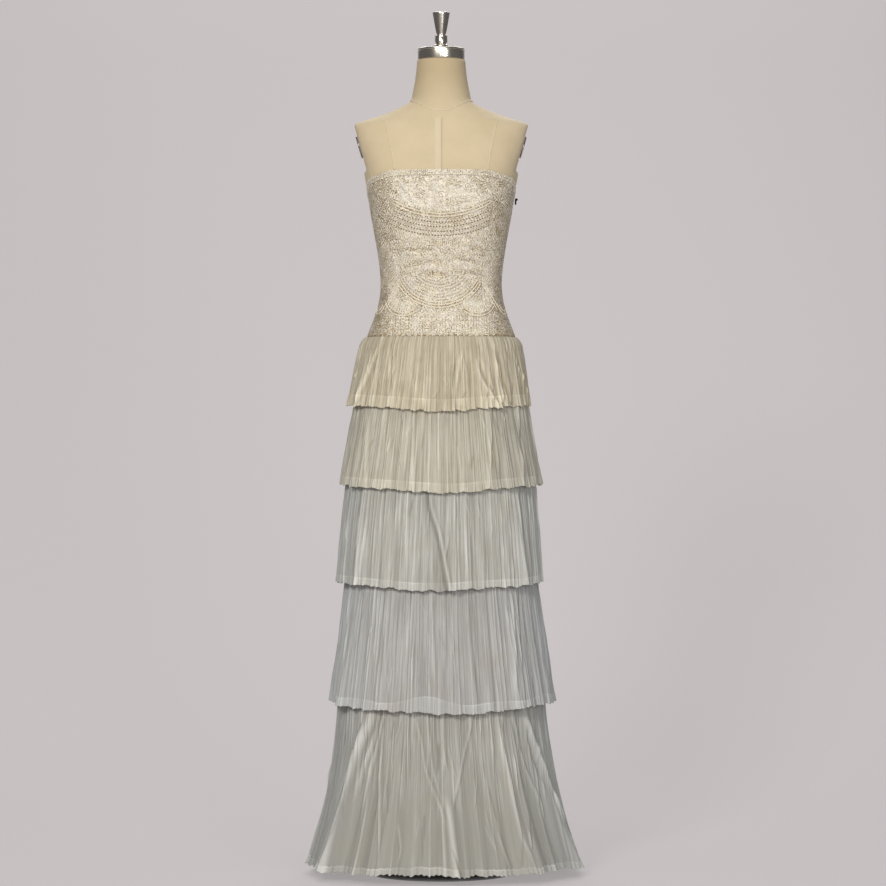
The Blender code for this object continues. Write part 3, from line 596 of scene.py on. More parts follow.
def quarter_places(width, depth, square, share):
    """Places on a quarter of a section at shares of its length from the middle, and its length."""
    power = 2 / square[:, None]
    across = width[:, None] * np.sin(ARC_ANGLES) ** power
    along = depth[:, None] * np.clip(np.cos(ARC_ANGLES), 0, 1) ** power
    lengths = np.cumsum(np.hypot(np.diff(across), np.diff(along)), axis=1)
    lengths = np.concatenate([np.zeros((len(lengths), 1)), lengths], axis=1)
    whole = lengths[:, -1]
    lengths = lengths / whole[:, None]
    after = np.clip((lengths <= share[:, None]).sum(axis=1), 1, ARC_STEPS)
    rows = np.arange(len(share))
    low = lengths[rows, after - 1]
    part = (share - low) / (lengths[rows, after] - low)
    angle = (after - 1 + part) * ARC_ANGLES[1]
    power = 2 / square
    x = width * np.sin(angle) ** power
    y = depth * np.clip(np.cos(angle), 0, 1) ** power
    return x, y, whole


def section_places(width, front, back, square, turn, z, grow):
    """Points of sections at turns around the body, grown outwards, and the length of their quarters."""
    shape = np.broadcast(width, turn, z, grow).shape
    width, front, back, square, turn, z, grow = (
        np.broadcast_to(value, shape).ravel() for value in (width, front, back, square, turn, z, grow)
    )
    turn = turn % 4
    in_front = (turn <= 1) | (turn >= 3)
    share = np.where(in_front, np.minimum(turn, 4 - turn), np.abs(2 - turn))
    depth = np.where(in_front, front, back)
    x, y, whole = quarter_places(width + grow, depth + grow, square, share)
    points = np.stack([np.where(turn < 2, x, -x), np.where(in_front, -y, y), z], axis=-1)
    return points.reshape(*shape, 3), whole.reshape(shape)


def body_places(turn, z, grow=0.0):
    """Points on the dress form, or that far outside it."""
    turn, z, grow = np.broadcast_arrays(turn, z, grow)
    rows = blend_rows(FORM_SECTIONS, z)
    points, _ = section_places(*(rows[..., i] for i in range(1, 5)), turn, z, grow)
    x, y = points[..., 0], points[..., 1]
    across = (np.abs(x) - BUST_APART) / BUST_REACH
    up = (z - BUST_HEIGHT) / BUST_REACH
    points[..., 1] -= np.where(y < 0, BUST_LIFT * np.exp(-across * across - up * up), 0)
    reach = ARM_REACH + ARM_LEAN * (z - ARM_HEIGHT)
    over = (np.abs(x) - reach) / ARM_RIM_SOFT
    clipped = reach - ARM_RIM_SOFT * np.logaddexp(0, -over)
    points[..., 0] = np.where(z > NECKLINE_FRONT, np.sign(x) * clipped, x)
    return points


def quarter_lengths(z):
    """Length of a front and of a back quarter of the form at heights."""
    rows = blend_rows(FORM_SECTIONS, z)
    flat = rows.reshape(-1, rows.shape[-1])
    none = np.zeros(len(flat))
    front = quarter_places(flat[:, 1], flat[:, 2], flat[:, 4], none)[2]
    back = quarter_places(flat[:, 1], flat[:, 3], flat[:, 4], none)[2]
    return front.reshape(np.shape(z)), back.reshape(np.shape(z))


def turn_at(side, distance, z):
    """Turn of a place that lies a distance to the wearer's left of the middle of the front or back."""
    front, back = quarter_lengths(z)
    far = np.abs(distance)
    if side == "front":
        turn = np.where(far <= front, far / front, 1 + (far - front) / back)
        return np.sign(distance) * turn
    turn = np.where(far <= back, far / back, 1 + (far - back) / front)
    return 2 - np.sign(distance) * turn


def distances(turn, z):
    """Signed distances round the body from the middle of the front and from the middle of the back."""
    front, back = quarter_lengths(z)
    turn = (turn + 2) % 4 - 2
    far = np.abs(turn)
    side = np.where(turn < 0, -1.0, 1.0)
    from_front = np.where(far <= 1, far * front, front + (far - 1) * back)
    from_back = np.where(far >= 1, (2 - far) * back, back + (1 - far) * front)
    return side * from_front, side * from_back


def neckline_height(turn):
    """Height of the neckline at turns."""
    turn = turn % 4
    return blend_rows(NECKLINE, np.minimum(turn, 4 - turn))[..., 1]


def slip_places(turn, z, grow=0.0):
    """Points on the inner face of the slip skirt, or that far outside it."""
    turn, z, grow = np.broadcast_arrays(turn, z, grow)
    rows = blend_rows(SLIP_SECTIONS, z)
    free, _ = section_places(*(rows[..., i] for i in range(1, 5)), turn, z, grow)
    on_body = body_places(turn, z, grow + CLOTH_GAP)
    return np.where((z >= SLIP_FREE_BELOW)[..., None], on_body, free)


def pleat_losses(tier, turns):
    """Share of the pleat depth that is lost at turns around a tier, from the columns of its solid."""
    draw = random.Random(tier.seed)
    pitch = 4 / PLEATS_PER_TIER
    places, losses = [], []
    for i in range(PLEATS_PER_TIER):
        places.append(pitch * (i + draw.uniform(-PLEAT_WANDER, PLEAT_WANDER)))
        places.append(pitch * (i + 0.5 + draw.uniform(-PLEAT_WANDER, PLEAT_WANDER)))
        losses.append(draw.uniform(0.0, CREST_LOSS))
        losses.append(draw.uniform(SHALLOW_PLEAT, 1.0))
    places = np.array(places[-2:] + places + places[:2])
    places[:2] -= 4
    places[-2:] += 4
    losses = np.array(losses[-2:] + losses + losses[:2])
    after = np.clip(np.searchsorted(places, turns, side="right"), 1, len(places) - 1)
    share = (turns - places[after - 1]) / (places[after] - places[after - 1])
    share = share * share * (3 - 2 * share)
    return losses[after - 1] + share * (losses[after] - losses[after - 1])


def signed_distance(turn, crest):
    """How far turns are past a crest, the short way round."""
    return (turn - crest + 2) % 4 - 2


def fold_lift(tier, turns, share):
    """How far the large folds of a tier stand out, a share of the way from seam to hem."""
    lift = np.zeros_like(turns)
    for fold in FOLDS:
        if fold.tier != tier.name:
            continue
        off = signed_distance(turns, fold.seam + (fold.hem - fold.seam) * share)
        reach = np.where(off > 0, fold.left, fold.right)
        rise = np.clip(1 - np.abs(off) / reach, 0, 1) ** FOLD_SHARPNESS
        lift = np.maximum(lift, fold.lift * share * rise)
    return lift


def short_creases(tier):
    """Many small broken creases of a tier, strewn between those given in the table."""
    draw = np.random.default_rng(tier.seed + 3)
    creases = []
    for _ in range(SHORT_CREASES[tier.name]):
        turn, share, long, slant = draw.uniform((0, 0.1, 0.08, -0.05), (4, 0.8, 0.22, 0.05))
        turn = (turn + 2) % 4 - 2
        path = ((turn, share), (turn + slant * 0.4, share + long * 0.5), (turn + slant, share + long))
        raised = draw.uniform(0.5, 1.0) * (1 if draw.random() < 0.65 else -1)
        creases.append(Crease(tier.name, draw.uniform(0.0012, 0.0021), 0.0026 * raised, 0.5 * raised, path))
    return creases


def crease_lift(tier, turns, share, quarter, creases):
    """How far the creases of a tier stand out at a share of its drop, and the painted highlight and shade
    they lay on it.
    """
    lift = np.zeros_like(turns)
    pale = np.zeros_like(turns)
    for crease in creases:
        path = np.array(crease.path)[:, ::-1]
        first, last = path[0, 0], path[-1, 0]
        if not first <= share <= last:
            continue
        crest = blend_rows(path, np.array([share]))[0, 1]
        soft = 0.22 * (last - first)
        fade = smooth_step(first - 0.02, first + soft, share)
        if last < 1:
            fade = fade * smooth_step(last + 0.01, last - soft, share)
        off = signed_distance(turns, crest) * quarter / crease.width
        rise = np.exp(-(off**2))
        # Painted shadow along one side of each pale crest, painted highlight on the crest
        dark = max(crease.pale, 0.0) * CREASE_SHADOW * np.exp(-(((off - 1.9) / 0.8) ** 2))
        lift += crease.depth * fade * rise
        pale += fade * (crease.pale * rise - dark)
    return lift, np.clip(pale, -1, 1)


def tier_shade(tier, turns, share):
    """How dark the set-back parts of a tier are at a share of its drop."""
    shade = np.zeros_like(turns)
    for part in SHADES:
        if part.tier != tier.name:
            continue
        first = part.seam_a + (part.hem_a - part.seam_a) * share
        last = part.seam_b + (part.hem_b - part.seam_b) * share
        middle, half = (first + last) / 2, (last - first) / 2
        off = np.abs(signed_distance(turns, middle))
        shade = np.maximum(shade, part.dark * smooth_step(half + 0.012, half - 0.012, off))
    return shade


def hem_height(tier, turns):
    """Height of a tier's hem, which dips in front and waves a little."""
    facing = np.maximum(0.0, np.cos(math.pi / 2 * turns))
    wave = HEM_WAVE * np.sin(math.pi / 2 * turns * HEM_WAVES + tier.seed)
    return tier.hem - tier.dip * facing**2 + wave


class Crinkles:
    """Fine crinkles around a tier, uneven in spacing, height, lean and length."""

    def __init__(self, tier, cloth):
        draw = np.random.default_rng(tier.seed)
        count = cloth.crinkles
        gaps = draw.uniform(0.45, 1.55, count)
        self.edges = np.concatenate([[0], np.cumsum(gaps)[:-1]]) * 4 / gaps.sum()
        self.height = draw.uniform(0.35, 1.0, count)
        self.crest = draw.uniform(0.25, 0.75, count)
        self.envelope = draw.uniform(0.35, 1.0, (count, 8))
        self.sway = draw.normal(0, 1, (count, 5)) * 0.0032
        lasts = draw.random(count) < cloth.lasting
        self.end = np.where(lasts, 1.6, draw.uniform(cloth.calm_from, cloth.calm_to, count))

    def ridge(self, turns, share):
        """0 in the valleys to 1 on the highest crests, at turns and a share of the drop."""
        knots = np.linspace(0, 1, self.envelope.shape[1])
        height = self.height * np.array([np.interp(share, knots, row) for row in self.envelope])
        height *= smooth_step(self.end + 0.1, self.end - 0.06, share)
        knots = np.linspace(0, 1, self.sway.shape[1])
        edges = self.edges + np.array([np.interp(share, knots, row) for row in self.sway])
        places = np.concatenate([edges - 4, edges, edges + 4])
        index = np.interp(turns, places, np.arange(len(places)))
        cell = np.floor(index).astype(int)
        part = index - cell
        cell = cell % len(edges)
        crest = self.crest[cell]
        near = np.where(part < crest, part / crest, (1 - part) / (1 - crest))
        return np.sin(math.pi / 2 * near) ** CRINKLE_SHARPNESS * height[cell]


def surface_grid(name, points, uv, fields, closed):
    """A mesh through rows of points, the lowest row first, with its cloth coordinates and fields."""
    rows, columns = points.shape[:2]
    low = np.arange(rows - 1)[:, None] * columns
    first = np.arange(columns if closed else columns - 1)[None, :]
    second = (first + 1) % columns
    quads = np.stack(
        [low + first, low + second, low + columns + second, low + columns + first], axis=-1
    ).reshape(-1, 4)
    mesh = bpy.data.meshes.new(name)
    mesh.vertices.add(rows * columns)
    mesh.vertices.foreach_set("co", points.astype(np.float32).ravel())
    mesh.loops.add(quads.size)
    mesh.loops.foreach_set("vertex_index", quads.astype(np.int32).ravel())
    mesh.polygons.add(len(quads))
    mesh.polygons.foreach_set("loop_start", np.arange(0, quads.size, 4, dtype=np.int32))
    layer = mesh.uv_layers.new(name="cloth")
    wide = uv.shape[1]
    low = np.arange(rows - 1)[:, None] * wide
    corners = np.stack(
        [low + first, low + first + 1, low + wide + first + 1, low + wide + first], axis=-1
    ).reshape(-1)
    layer.data.foreach_set("uv", uv.reshape(-1, 2)[corners].astype(np.float32).ravel())
    for field, values in fields.items():
        store = mesh.attributes.new(field, "FLOAT", "POINT")
        store.data.foreach_set("value", np.ascontiguousarray(values, dtype=np.float32).ravel())
    mesh.update(calc_edges=True)
    mesh.shade_smooth()
    return mesh


def plain_mesh(name, points, faces):
    """A mesh from arrays of points and a list of faces."""
    mesh = bpy.data.meshes.new(name)
    mesh.from_pydata([tuple(point) for point in points], [], faces)
    mesh.update(calc_edges=True)
    mesh.shade_smooth()
    return mesh


def place(name, mesh, *materials):
    """Shows a mesh as a named piece with its materials."""
    for material in materials:
        mesh.materials.append(material)
    piece = bpy.data.objects.new(name, mesh)
    bpy.context.scene.collection.objects.link(piece)
    return piece


def cloth_uv(points, closed):
    """Coordinates in metres over rows of points: distance along a row and distance up from the lowest."""
    if closed:
        points = np.concatenate([points, points[:, :1]], axis=1)
    steps = np.linalg.norm(np.diff(points, axis=1), axis=2).mean(axis=0)
    across = np.concatenate([[0], np.cumsum(steps)])
    rises = np.linalg.norm(np.diff(points, axis=0), axis=2).mean(axis=1)
    up = np.concatenate([[0], np.cumsum(rises)])
    return np.stack(np.meshgrid(across, up), axis=-1)


def joined_rings(base, sides, pairs):
    """Faces between pairs of rings, whose corners are numbered on from a base."""
    faces = []
    for i, j in pairs:
        for k in range(sides):
            m = (k + 1) % sides
            corners = ((i, k), (j, k), (j, m), (i, m))
            faces.append([base + row * sides + column for row, column in corners])
    return faces


def tubes(name, paths, radius, sides, closed=False):
    """Round threads or rods along paths of points, as one mesh."""
    points, faces = [], []
    for path in paths:
        path = np.asarray(path, dtype=float)
        count = len(path)
        if closed:
            ahead, behind = np.roll(path, -1, axis=0), np.roll(path, 1, axis=0)
        else:
            ahead = np.concatenate([path[1:], path[-1:]])
            behind = np.concatenate([path[:1], path[:-1]])
        tangent = ahead - behind
        tangent /= np.linalg.norm(tangent, axis=1, keepdims=True)
        out = np.stack([path[:, 0], path[:, 1], np.zeros(count)], axis=-1) + 1e-6
        first = np.cross(tangent, out)
        first /= np.linalg.norm(first, axis=1, keepdims=True)
        second = np.cross(first, tangent)
        angle = np.arange(sides) * 2 * math.pi / sides
        ring = (
            path[:, None]
            + radius * np.cos(angle)[None, :, None] * first[:, None]
            + radius * np.sin(angle)[None, :, None] * second[:, None]
        )
        base = len(points)
        points.extend(ring.reshape(-1, 3))
        pairs = [(i, (i + 1) % count) for i in range(count if closed else count - 1)]
        faces += joined_rings(base, sides, pairs)
        if not closed:
            faces.append(tuple(base + k for k in range(sides)))
            faces.append(tuple(base + (count - 1) * sides + k for k in reversed(range(sides))))
    return plain_mesh(name, points, faces)


def turned(name, profile, steps, scale=(1.0, 1.0)):
    """A solid turned about Z from (radius, height) points that run down its outer side from the top."""
    angle = np.arange(steps) * 2 * math.pi / steps
    points = []
    for radius, z in profile:
        if radius == 0:
            points.append((0.0, 0.0, z))
        else:
            points.extend(
                (radius * math.cos(a) * scale[0], radius * math.sin(a) * scale[1], z) for a in angle
            )
    faces = []
    last_row = 1 + (len(profile) - 3) * steps
    bottom = len(points) - 1
    for k in range(steps):
        m = (k + 1) % steps
        faces.append((0, 1 + k, 1 + m))
        faces.append((bottom, last_row + m, last_row + k))
        for row in range(len(profile) - 3):
            high, low = 1 + row * steps, 1 + (row + 1) * steps
            faces.append((high + k, low + k, low + m, high + m))
    mesh = plain_mesh(name, points, faces)
    mesh.set_sharp_from_angle(angle=math.radians(35))
    return mesh


def feed(tree, node, inputs):
    """Links or sets each named input of a node."""
    for name, value in inputs.items():
        if isinstance(value, bpy.types.NodeSocket):
            tree.links.new(value, node.inputs[name])
        else:
            node.inputs[name].default_value = value


def add_node(tree, kind, inputs=None, **settings):
    """A node with its settings and with each named input linked or set."""
    node = tree.nodes.new(kind)
    for name, value in settings.items():
        setattr(node, name, value)
    feed(tree, node, inputs or {})
    return node


def maths(tree, operation, first, second=None, third=None):
    """Result of a maths node."""
    inputs = {0: first}
    if second is not None:
        inputs[1] = second
    if third is not None:
        inputs[2] = third
    return add_node(tree, "ShaderNodeMath", inputs, operation=operation).outputs[0]


def times(tree, first, second):
    """Product of two values."""
    return maths(tree, "MULTIPLY", first, second)


def weighted(tree, value, weight, rest):
    """A value times its weight, added to the rest."""
    return maths(tree, "MULTIPLY_ADD", value, weight, rest)


def opaque(colour):
    """A colour property as four numbers."""
    return (*colour[:3], 1.0)


def mixed(tree, share, first, second):
    """A colour between two colours."""
    first, second = (end if isinstance(end, bpy.types.NodeSocket) else opaque(end) for end in (first, second))
    node = add_node(tree, "ShaderNodeMix", {0: share, 6: first, 7: second}, data_type="RGBA")
    return node.outputs[2]


def laid_over(tree, base, mask, most, colour):
    """A base with a colour laid over it where a mask is high."""
    return mixed(tree, times(tree, mask, most), base, colour)


def span(tree, value, low, high, new_low=0.0, new_high=1.0):
    """A value's range mapped on to another range and held inside it."""
    inputs = {"Value": value, "From Min": low, "From Max": high, "To Min": new_low, "To Max": new_high}
    return add_node(tree, "ShaderNodeMapRange", inputs).outputs[0]


def noise(tree, vector, scale, detail=2.0, roughness=0.5):
    """Soft noise from 0 to 1."""
    inputs = {"Vector": vector, "Scale": scale, "Detail": detail, "Roughness": roughness}
    return add_node(tree, "ShaderNodeTexNoise", inputs).outputs[0]


def field_of(tree, name):
    """A field that the mesh carries."""
    return add_node(tree, "ShaderNodeAttribute", attribute_name=name).outputs["Fac"]


def new_group(name, inputs, outputs):
    """An empty node group with named inputs and outputs, and its two end nodes."""
    group = bpy.data.node_groups.new(name, "ShaderNodeTree")
    for way, sockets in (("INPUT", inputs), ("OUTPUT", outputs)):
        for socket in sockets:
            kind = "NodeSocketVector" if socket == "Vector" else "NodeSocketFloat"
            group.interface.new_socket(socket, in_out=way, socket_type=kind)
    return group, group.nodes.new("NodeGroupInput").outputs, group.nodes.new("NodeGroupOutput")


def use_group(tree, name, **inputs):
    """A shared node group placed in a material, built when it is first asked for."""
    group = bpy.data.node_groups.get(name) or GROUP_MAKERS[name]()
    node = tree.nodes.new("ShaderNodeGroup")
    node.node_tree = group
    feed(tree, node, {name.replace("_", " ").capitalize(): value for name, value in inputs.items()})
    return node.outputs


def make_thread_weave():
    """Over and under of plain woven threads, as a height."""
    group, given, result = new_group("thread_weave", ("Vector", "Pitch"), ("Height",))
    parts = add_node(group, "ShaderNodeSeparateXYZ", {0: given["Vector"]})
    waves = []
    for axis in ("X", "Y"):
        turns = maths(group, "DIVIDE", parts.outputs[axis], given["Pitch"])
        waves.append(maths(group, "SINE", times(group, turns, math.pi)))
    feed(group, result, {"Height": weighted(group, times(group, *waves), 0.5, 0.5)})
    return group


def make_age_marks():
    """Soft discoloured patches and small spots that old cloth has."""
    group, given, result = new_group("age_marks", ("Vector", "Patch size", "Amount"), ("Patches", "Spots"))
    scale = maths(group, "DIVIDE", 1.0, given["Patch size"])
    patches = span(group, noise(group, given["Vector"], scale, 4.0, 0.6), 0.5, 0.72)
    inputs = {"Vector": given["Vector"], "Scale": times(group, scale, 2.6)}
    near = add_node(group, "ShaderNodeTexVoronoi", inputs)
    rare = span(group, noise(group, given["Vector"], times(group, scale, 1.7)), 0.56, 0.66)
    spots = times(group, span(group, near.outputs["Distance"], 0.16, 0.05), rare)
    patches, spots = (times(group, marks, given["Amount"]) for marks in (patches, spots))
    feed(group, result, {"Patches": patches, "Spots": spots})
    return group


def make_fine_streaks():
    """Fine uneven lines that run down pleated cloth."""
    group, given, result = new_group("fine_streaks", ("Vector", "Line width", "Line length"), ("Lines",))
    parts = add_node(group, "ShaderNodeSeparateXYZ", {0: given["Vector"]})
    across = maths(group, "DIVIDE", parts.outputs["X"], given["Line width"])
    down = maths(group, "DIVIDE", parts.outputs["Y"], given["Line length"])
    place_in = add_node(group, "ShaderNodeCombineXYZ", {0: across, 1: down})
    feed(group, result, {"Lines": span(group, noise(group, place_in.outputs[0], 1.0, 2.0, 0.55), 0.36, 0.64)})
    return group


def make_embroidery():
    """Hand-worked scales of close curved stitches, as a height and a share of thread."""
    inputs = ("Vector", "Line pitch", "Stitch size")
    group, given, result = new_group("embroidery", inputs, ("Thread", "Height"))
    waver = add_node(group, "ShaderNodeTexNoise", {"Vector": given["Vector"], "Scale": 70.0, "Detail": 3.0})
    inputs = {0: waver.outputs["Color"], "Scale": 0.02}
    push = add_node(group, "ShaderNodeVectorMath", inputs, operation="SCALE")
    moved = add_node(group, "ShaderNodeVectorMath", {0: given["Vector"], 1: push.outputs[0]}, operation="ADD")
    parts = add_node(group, "ShaderNodeSeparateXYZ", {0: moved.outputs[0]})
    wide = times(group, given["Line pitch"], 4.4)
    tall = times(group, given["Line pitch"], 2.6)
    row = maths(group, "DIVIDE", parts.outputs["Y"], tall)
    shift = times(group, maths(group, "FLOOR", row), 0.5)
    column = maths(group, "ADD", maths(group, "DIVIDE", parts.outputs["X"], wide), shift)
    column = maths(group, "FRACT", column)
    across = times(group, maths(group, "SUBTRACT", column, 0.5), wide)
    up = times(group, maths(group, "FRACT", row), tall)
    reach = maths(group, "SQRT", weighted(group, across, across, times(group, up, up)))
    turns = times(group, maths(group, "DIVIDE", reach, given["Line pitch"]), 2 * math.pi)
    lines = span(group, maths(group, "SINE", turns), -0.8, 0.6)
    dense = maths(group, "DIVIDE", 1.0, given["Stitch size"])
    inputs = {"Vector": moved.outputs[0], "Scale": dense, "Randomness": 0.9}
    cells = add_node(group, "ShaderNodeTexVoronoi", inputs)
    stitch = span(group, cells.outputs["Distance"], 0.66, 0.2)
    thread = weighted(group, lines, 0.46, times(group, stitch, 0.54))
    feed(group, result, {"Thread": thread, "Height": weighted(group, lines, 0.5, times(group, stitch, 0.5))})
    return group


def make_wear():
    """Small uneven variation of a surface, for roughness and tone."""
    group, given, result = new_group("surface_wear", ("Vector", "Size"), ("Broad", "Fine"))
    scale = maths(group, "DIVIDE", 1.0, given["Size"])
    broad = noise(group, given["Vector"], scale, 3.0, 0.55)
    fine = noise(group, given["Vector"], times(group, scale, 9.0), 3.0, 0.6)
    feed(group, result, {"Broad": broad, "Fine": fine})
    return group


GROUP_MAKERS = {
    "thread_weave": make_thread_weave,
    "age_marks": make_age_marks,
    "fine_streaks": make_fine_streaks,
    "embroidery": make_embroidery,
    "surface_wear": make_wear,
}


def new_material(name):
    """An empty material and the tree and shader in it."""
    material = bpy.data.materials.new(name)
    material.use_nodes = True
    return material, material.node_tree, material.node_tree.nodes["Principled BSDF"]


def bump(tree, shader, height, distance, strength=1.0):
    """Feeds a height to a shader's normal."""
    node = add_node(tree, "ShaderNodeBump", {"Height": height, "Distance": distance, "Strength": strength})
    tree.links.new(node.outputs["Normal"], shader.inputs["Normal"])


def cloth_vector(tree):
    """Cloth coordinates of the mesh, in metres."""
    return add_node(tree, "ShaderNodeUVMap", uv_map="cloth").outputs[0]


def place_vector(tree):
    """Place in the frame, in metres."""
    return add_node(tree, "ShaderNodeTexCoord").outputs["Object"]


def chiffon_material(name, cloth, under, paler, marks):
    """Sheer pleated cloth: pale where it is folded over, darker where the slip reads through, with painted
    light and shade of its folds and creases, painted shade on its set-back parts and painted light of the
    room at its sides.
    """
    settings = bpy.context.scene.dress_cloth
    material, tree, shader = new_material(name)
    uv = cloth_vector(tree)
    where = place_vector(tree)
    fine = use_group(tree, "fine_streaks", vector=uv, line_width=0.0026, line_length=0.12)["Lines"]
    # The middle and broad streaks paint the light and shade of soft folds running down the cloth
    middle = use_group(tree, "fine_streaks", vector=uv, line_width=0.0085, line_length=0.28)["Lines"]
    broad = use_group(tree, "fine_streaks", vector=uv, line_width=0.035, line_length=0.35)["Lines"]
    age = use_group(tree, "age_marks", vector=where, patch_size=0.045, amount=marks)
    crisp = field_of(tree, "crisp")
    fine = times(tree, fine, crisp)
    middle = times(tree, middle, crisp)
    cover = times(tree, maths(tree, "POWER", field_of(tree, "ridge"), 1.5), 0.8)
    cover = weighted(tree, fine, 0.36, cover)
    cover = weighted(tree, middle, 0.14, cover)
    cover = weighted(tree, broad, 0.16, cover)
    cover = weighted(tree, field_of(tree, "doubled"), paler, cover)
    # Painted highlight on the crests of creases and folds, painted shade in their troughs
    cover = weighted(tree, field_of(tree, "pale"), 0.7, cover)
    cover = span(tree, cover, 0.05, 1.13)
    base = mixed(tree, cover, under, cloth)
    base = laid_over(tree, base, age["Patches"], 0.5, settings.cloth_stain)
    base = laid_over(tree, base, age["Spots"], 0.5, settings.cloth_stain)
    # Painted light of the grey room seen through the sheer sides
    base = laid_over(tree, base, field_of(tree, "cool"), 0.6, settings.painted_room_light)
    shadow = [c * 0.6 for c in under]
    base = mixed(tree, field_of(tree, "shade"), base, (shadow[0], shadow[1] * 1.03, shadow[2] * 1.1))
    feed(tree, shader, {
        "Base Color": base, "Roughness": span(tree, cover, 0.0, 1.0, 0.8, 0.58), "Sheen Weight": 0.2,
        "Sheen Roughness": 0.45, "Specular IOR Level": 0.35,
    })
    weave = use_group(tree, "thread_weave", vector=uv, pitch=settings.weave_pitch)["Height"]
    height = weighted(tree, fine, 0.9, times(tree, weave, 0.1))
    height = weighted(tree, middle, 0.7, height)
    bump(tree, shader, height, 0.0012, 0.85)
    return material


def lace_material():
    """Close embroidery in pale thread on a tan net, glossy over the bust, with painted highlights on its
    glossy parts and painted shade in its grooves and at its sides.
    """
    settings = bpy.context.scene.dress_cloth
    material, tree, shader = new_material("lace_embroidery")
    uv = cloth_vector(tree)
    where = place_vector(tree)
    fine = use_group(tree, "embroidery", vector=uv, line_pitch=0.0041, stitch_size=0.003)
    age = use_group(tree, "age_marks", vector=where, patch_size=0.03, amount=0.9)
    raised = field_of(tree, "raised")
    satin = field_of(tree, "satin")
    patchy = noise(tree, where, 32.0, 3.0, 0.6)
    thread = weighted(tree, fine["Thread"], 0.7, times(tree, raised, 0.66))
    # Painted highlight: glossy parts make the thread paler
    thread = weighted(tree, satin, 0.2, thread)
    # Partly a more open net, partly painted shade at the sides
    thread = weighted(tree, field_of(tree, "open_net_and_side_shade"), -0.26, thread)
    thread = maths(tree, "ADD", thread, span(tree, patchy, 0.35, 0.65, -0.11, 0.1))
    thread = span(tree, thread, 0.11, 0.5)
    base = mixed(tree, thread, settings.lace_ground, settings.lace_thread)
    # Painted highlight: patches and glossy parts are tinted towards the sheen colour
    glint = span(tree, satin, 0.52, 0.9)
    cool = span(tree, noise(tree, where, 60.0, 3.0, 0.6), 0.46, 0.66)
    cool = times(tree, cool, weighted(tree, satin, 0.35, 0.26))
    cool = maths(tree, "MAXIMUM", cool, times(tree, glint, 0.8))
    base = mixed(tree, cool, base, settings.lace_sheen)
    base = laid_over(tree, base, age["Patches"], 0.45, settings.lace_age)
    stain = maths(tree, "MAXIMUM", field_of(tree, "stained"), times(tree, age["Spots"], 0.75))
    base = mixed(tree, stain, base, settings.lace_stain)
    rough = weighted(tree, satin, -0.16, weighted(tree, thread, -0.18, 0.6))
    feed(tree, shader, {
        "Base Color": base, "Roughness": rough, "Coat Weight": times(tree, satin, 0.35),
        "Coat Roughness": 0.3, "Sheen Weight": 0.15, "Sheen Roughness": 0.35,
    })
    bump(tree, shader, fine["Height"], 0.0019, 0.85)
    return material


def thread_material(name, colour, twist):
    """Twisted pale thread of the cords and eyelets."""
    material, tree, shader = new_material(name)
    where = place_vector(tree)
    wear = use_group(tree, "surface_wear", vector=where, size=0.006)
    base = mixed(tree, span(tree, wear["Broad"], 0.35, 0.7), colour, [c * 0.86 for c in colour])
    feed(tree, shader, {
        "Base Color": base, "Roughness": span(tree, wear["Fine"], 0.3, 0.7, 0.62, 0.8),
        "Specular IOR Level": 0.2,
    })
    wave = add_node(tree, "ShaderNodeTexWave", {"Vector": where, "Scale": twist}, bands_direction="DIAGONAL")
    bump(tree, shader, wave.outputs["Fac"], 0.0003, 0.2)
    return material


def canvas_material():
    """Cream cotton canvas over the padded form."""
    settings = bpy.context.scene.form_finish
    material, tree, shader = new_material("form_canvas_cover")
    uv = cloth_vector(tree)
    where = place_vector(tree)
    wear = use_group(tree, "surface_wear", vector=where, size=0.06)
    age = use_group(tree, "age_marks", vector=where, patch_size=0.11, amount=0.35)
    height = add_node(tree, "ShaderNodeSeparateXYZ", {0: where}).outputs["Z"]
    neck = span(tree, height, 1.515, 1.6)
    base = mixed(tree, span(tree, wear["Broad"], 0.3, 0.7), settings.canvas, settings.canvas_pale)
    base = laid_over(tree, base, neck, 0.55, settings.canvas_neck)
    base = laid_over(tree, base, age["Patches"], 0.4, settings.canvas_neck)
    base = laid_over(tree, base, field_of(tree, "strip"), 0.35, settings.seam_pale)
    # Painted shade in the groove beside the tape of the middle seam
    base = laid_over(tree, base, field_of(tree, "groove"), 0.38, settings.seam_dark)
    feed(tree, shader, {
        "Base Color": base, "Roughness": span(tree, wear["Fine"], 0.3, 0.7, 0.78, 0.92),
        "Sheen Weight": 0.15, "Sheen Roughness": 0.5,
    })
    weave = use_group(tree, "thread_weave", vector=uv, pitch=0.0007)["Height"]
    bump(tree, shader, weighted(tree, wear["Fine"], 0.5, weave), 0.0002, 0.35)
    return material


def metal_material(name, colour, smooth, dull):
    """Polished metal with faint turning marks and smears."""
    material, tree, shader = new_material(name)
    where = place_vector(tree)
    wear = use_group(tree, "surface_wear", vector=where, size=0.02)
    base = mixed(tree, span(tree, wear["Broad"], 0.35, 0.75), colour, [c * 0.86 for c in colour])
    feed(tree, shader, {
        "Base Color": base, "Roughness": span(tree, wear["Fine"], 0.3, 0.75, smooth, dull),
        "Metallic": 1.0,
    })
    height = add_node(tree, "ShaderNodeSeparateXYZ", {0: where}).outputs["Z"]
    rings = add_node(tree, "ShaderNodeCombineXYZ", {2: times(tree, height, 2600.0)})
    marks = noise(tree, rings.outputs[0], 1.0)
    bump(tree, shader, marks, 0.00005, 0.25)
    return material


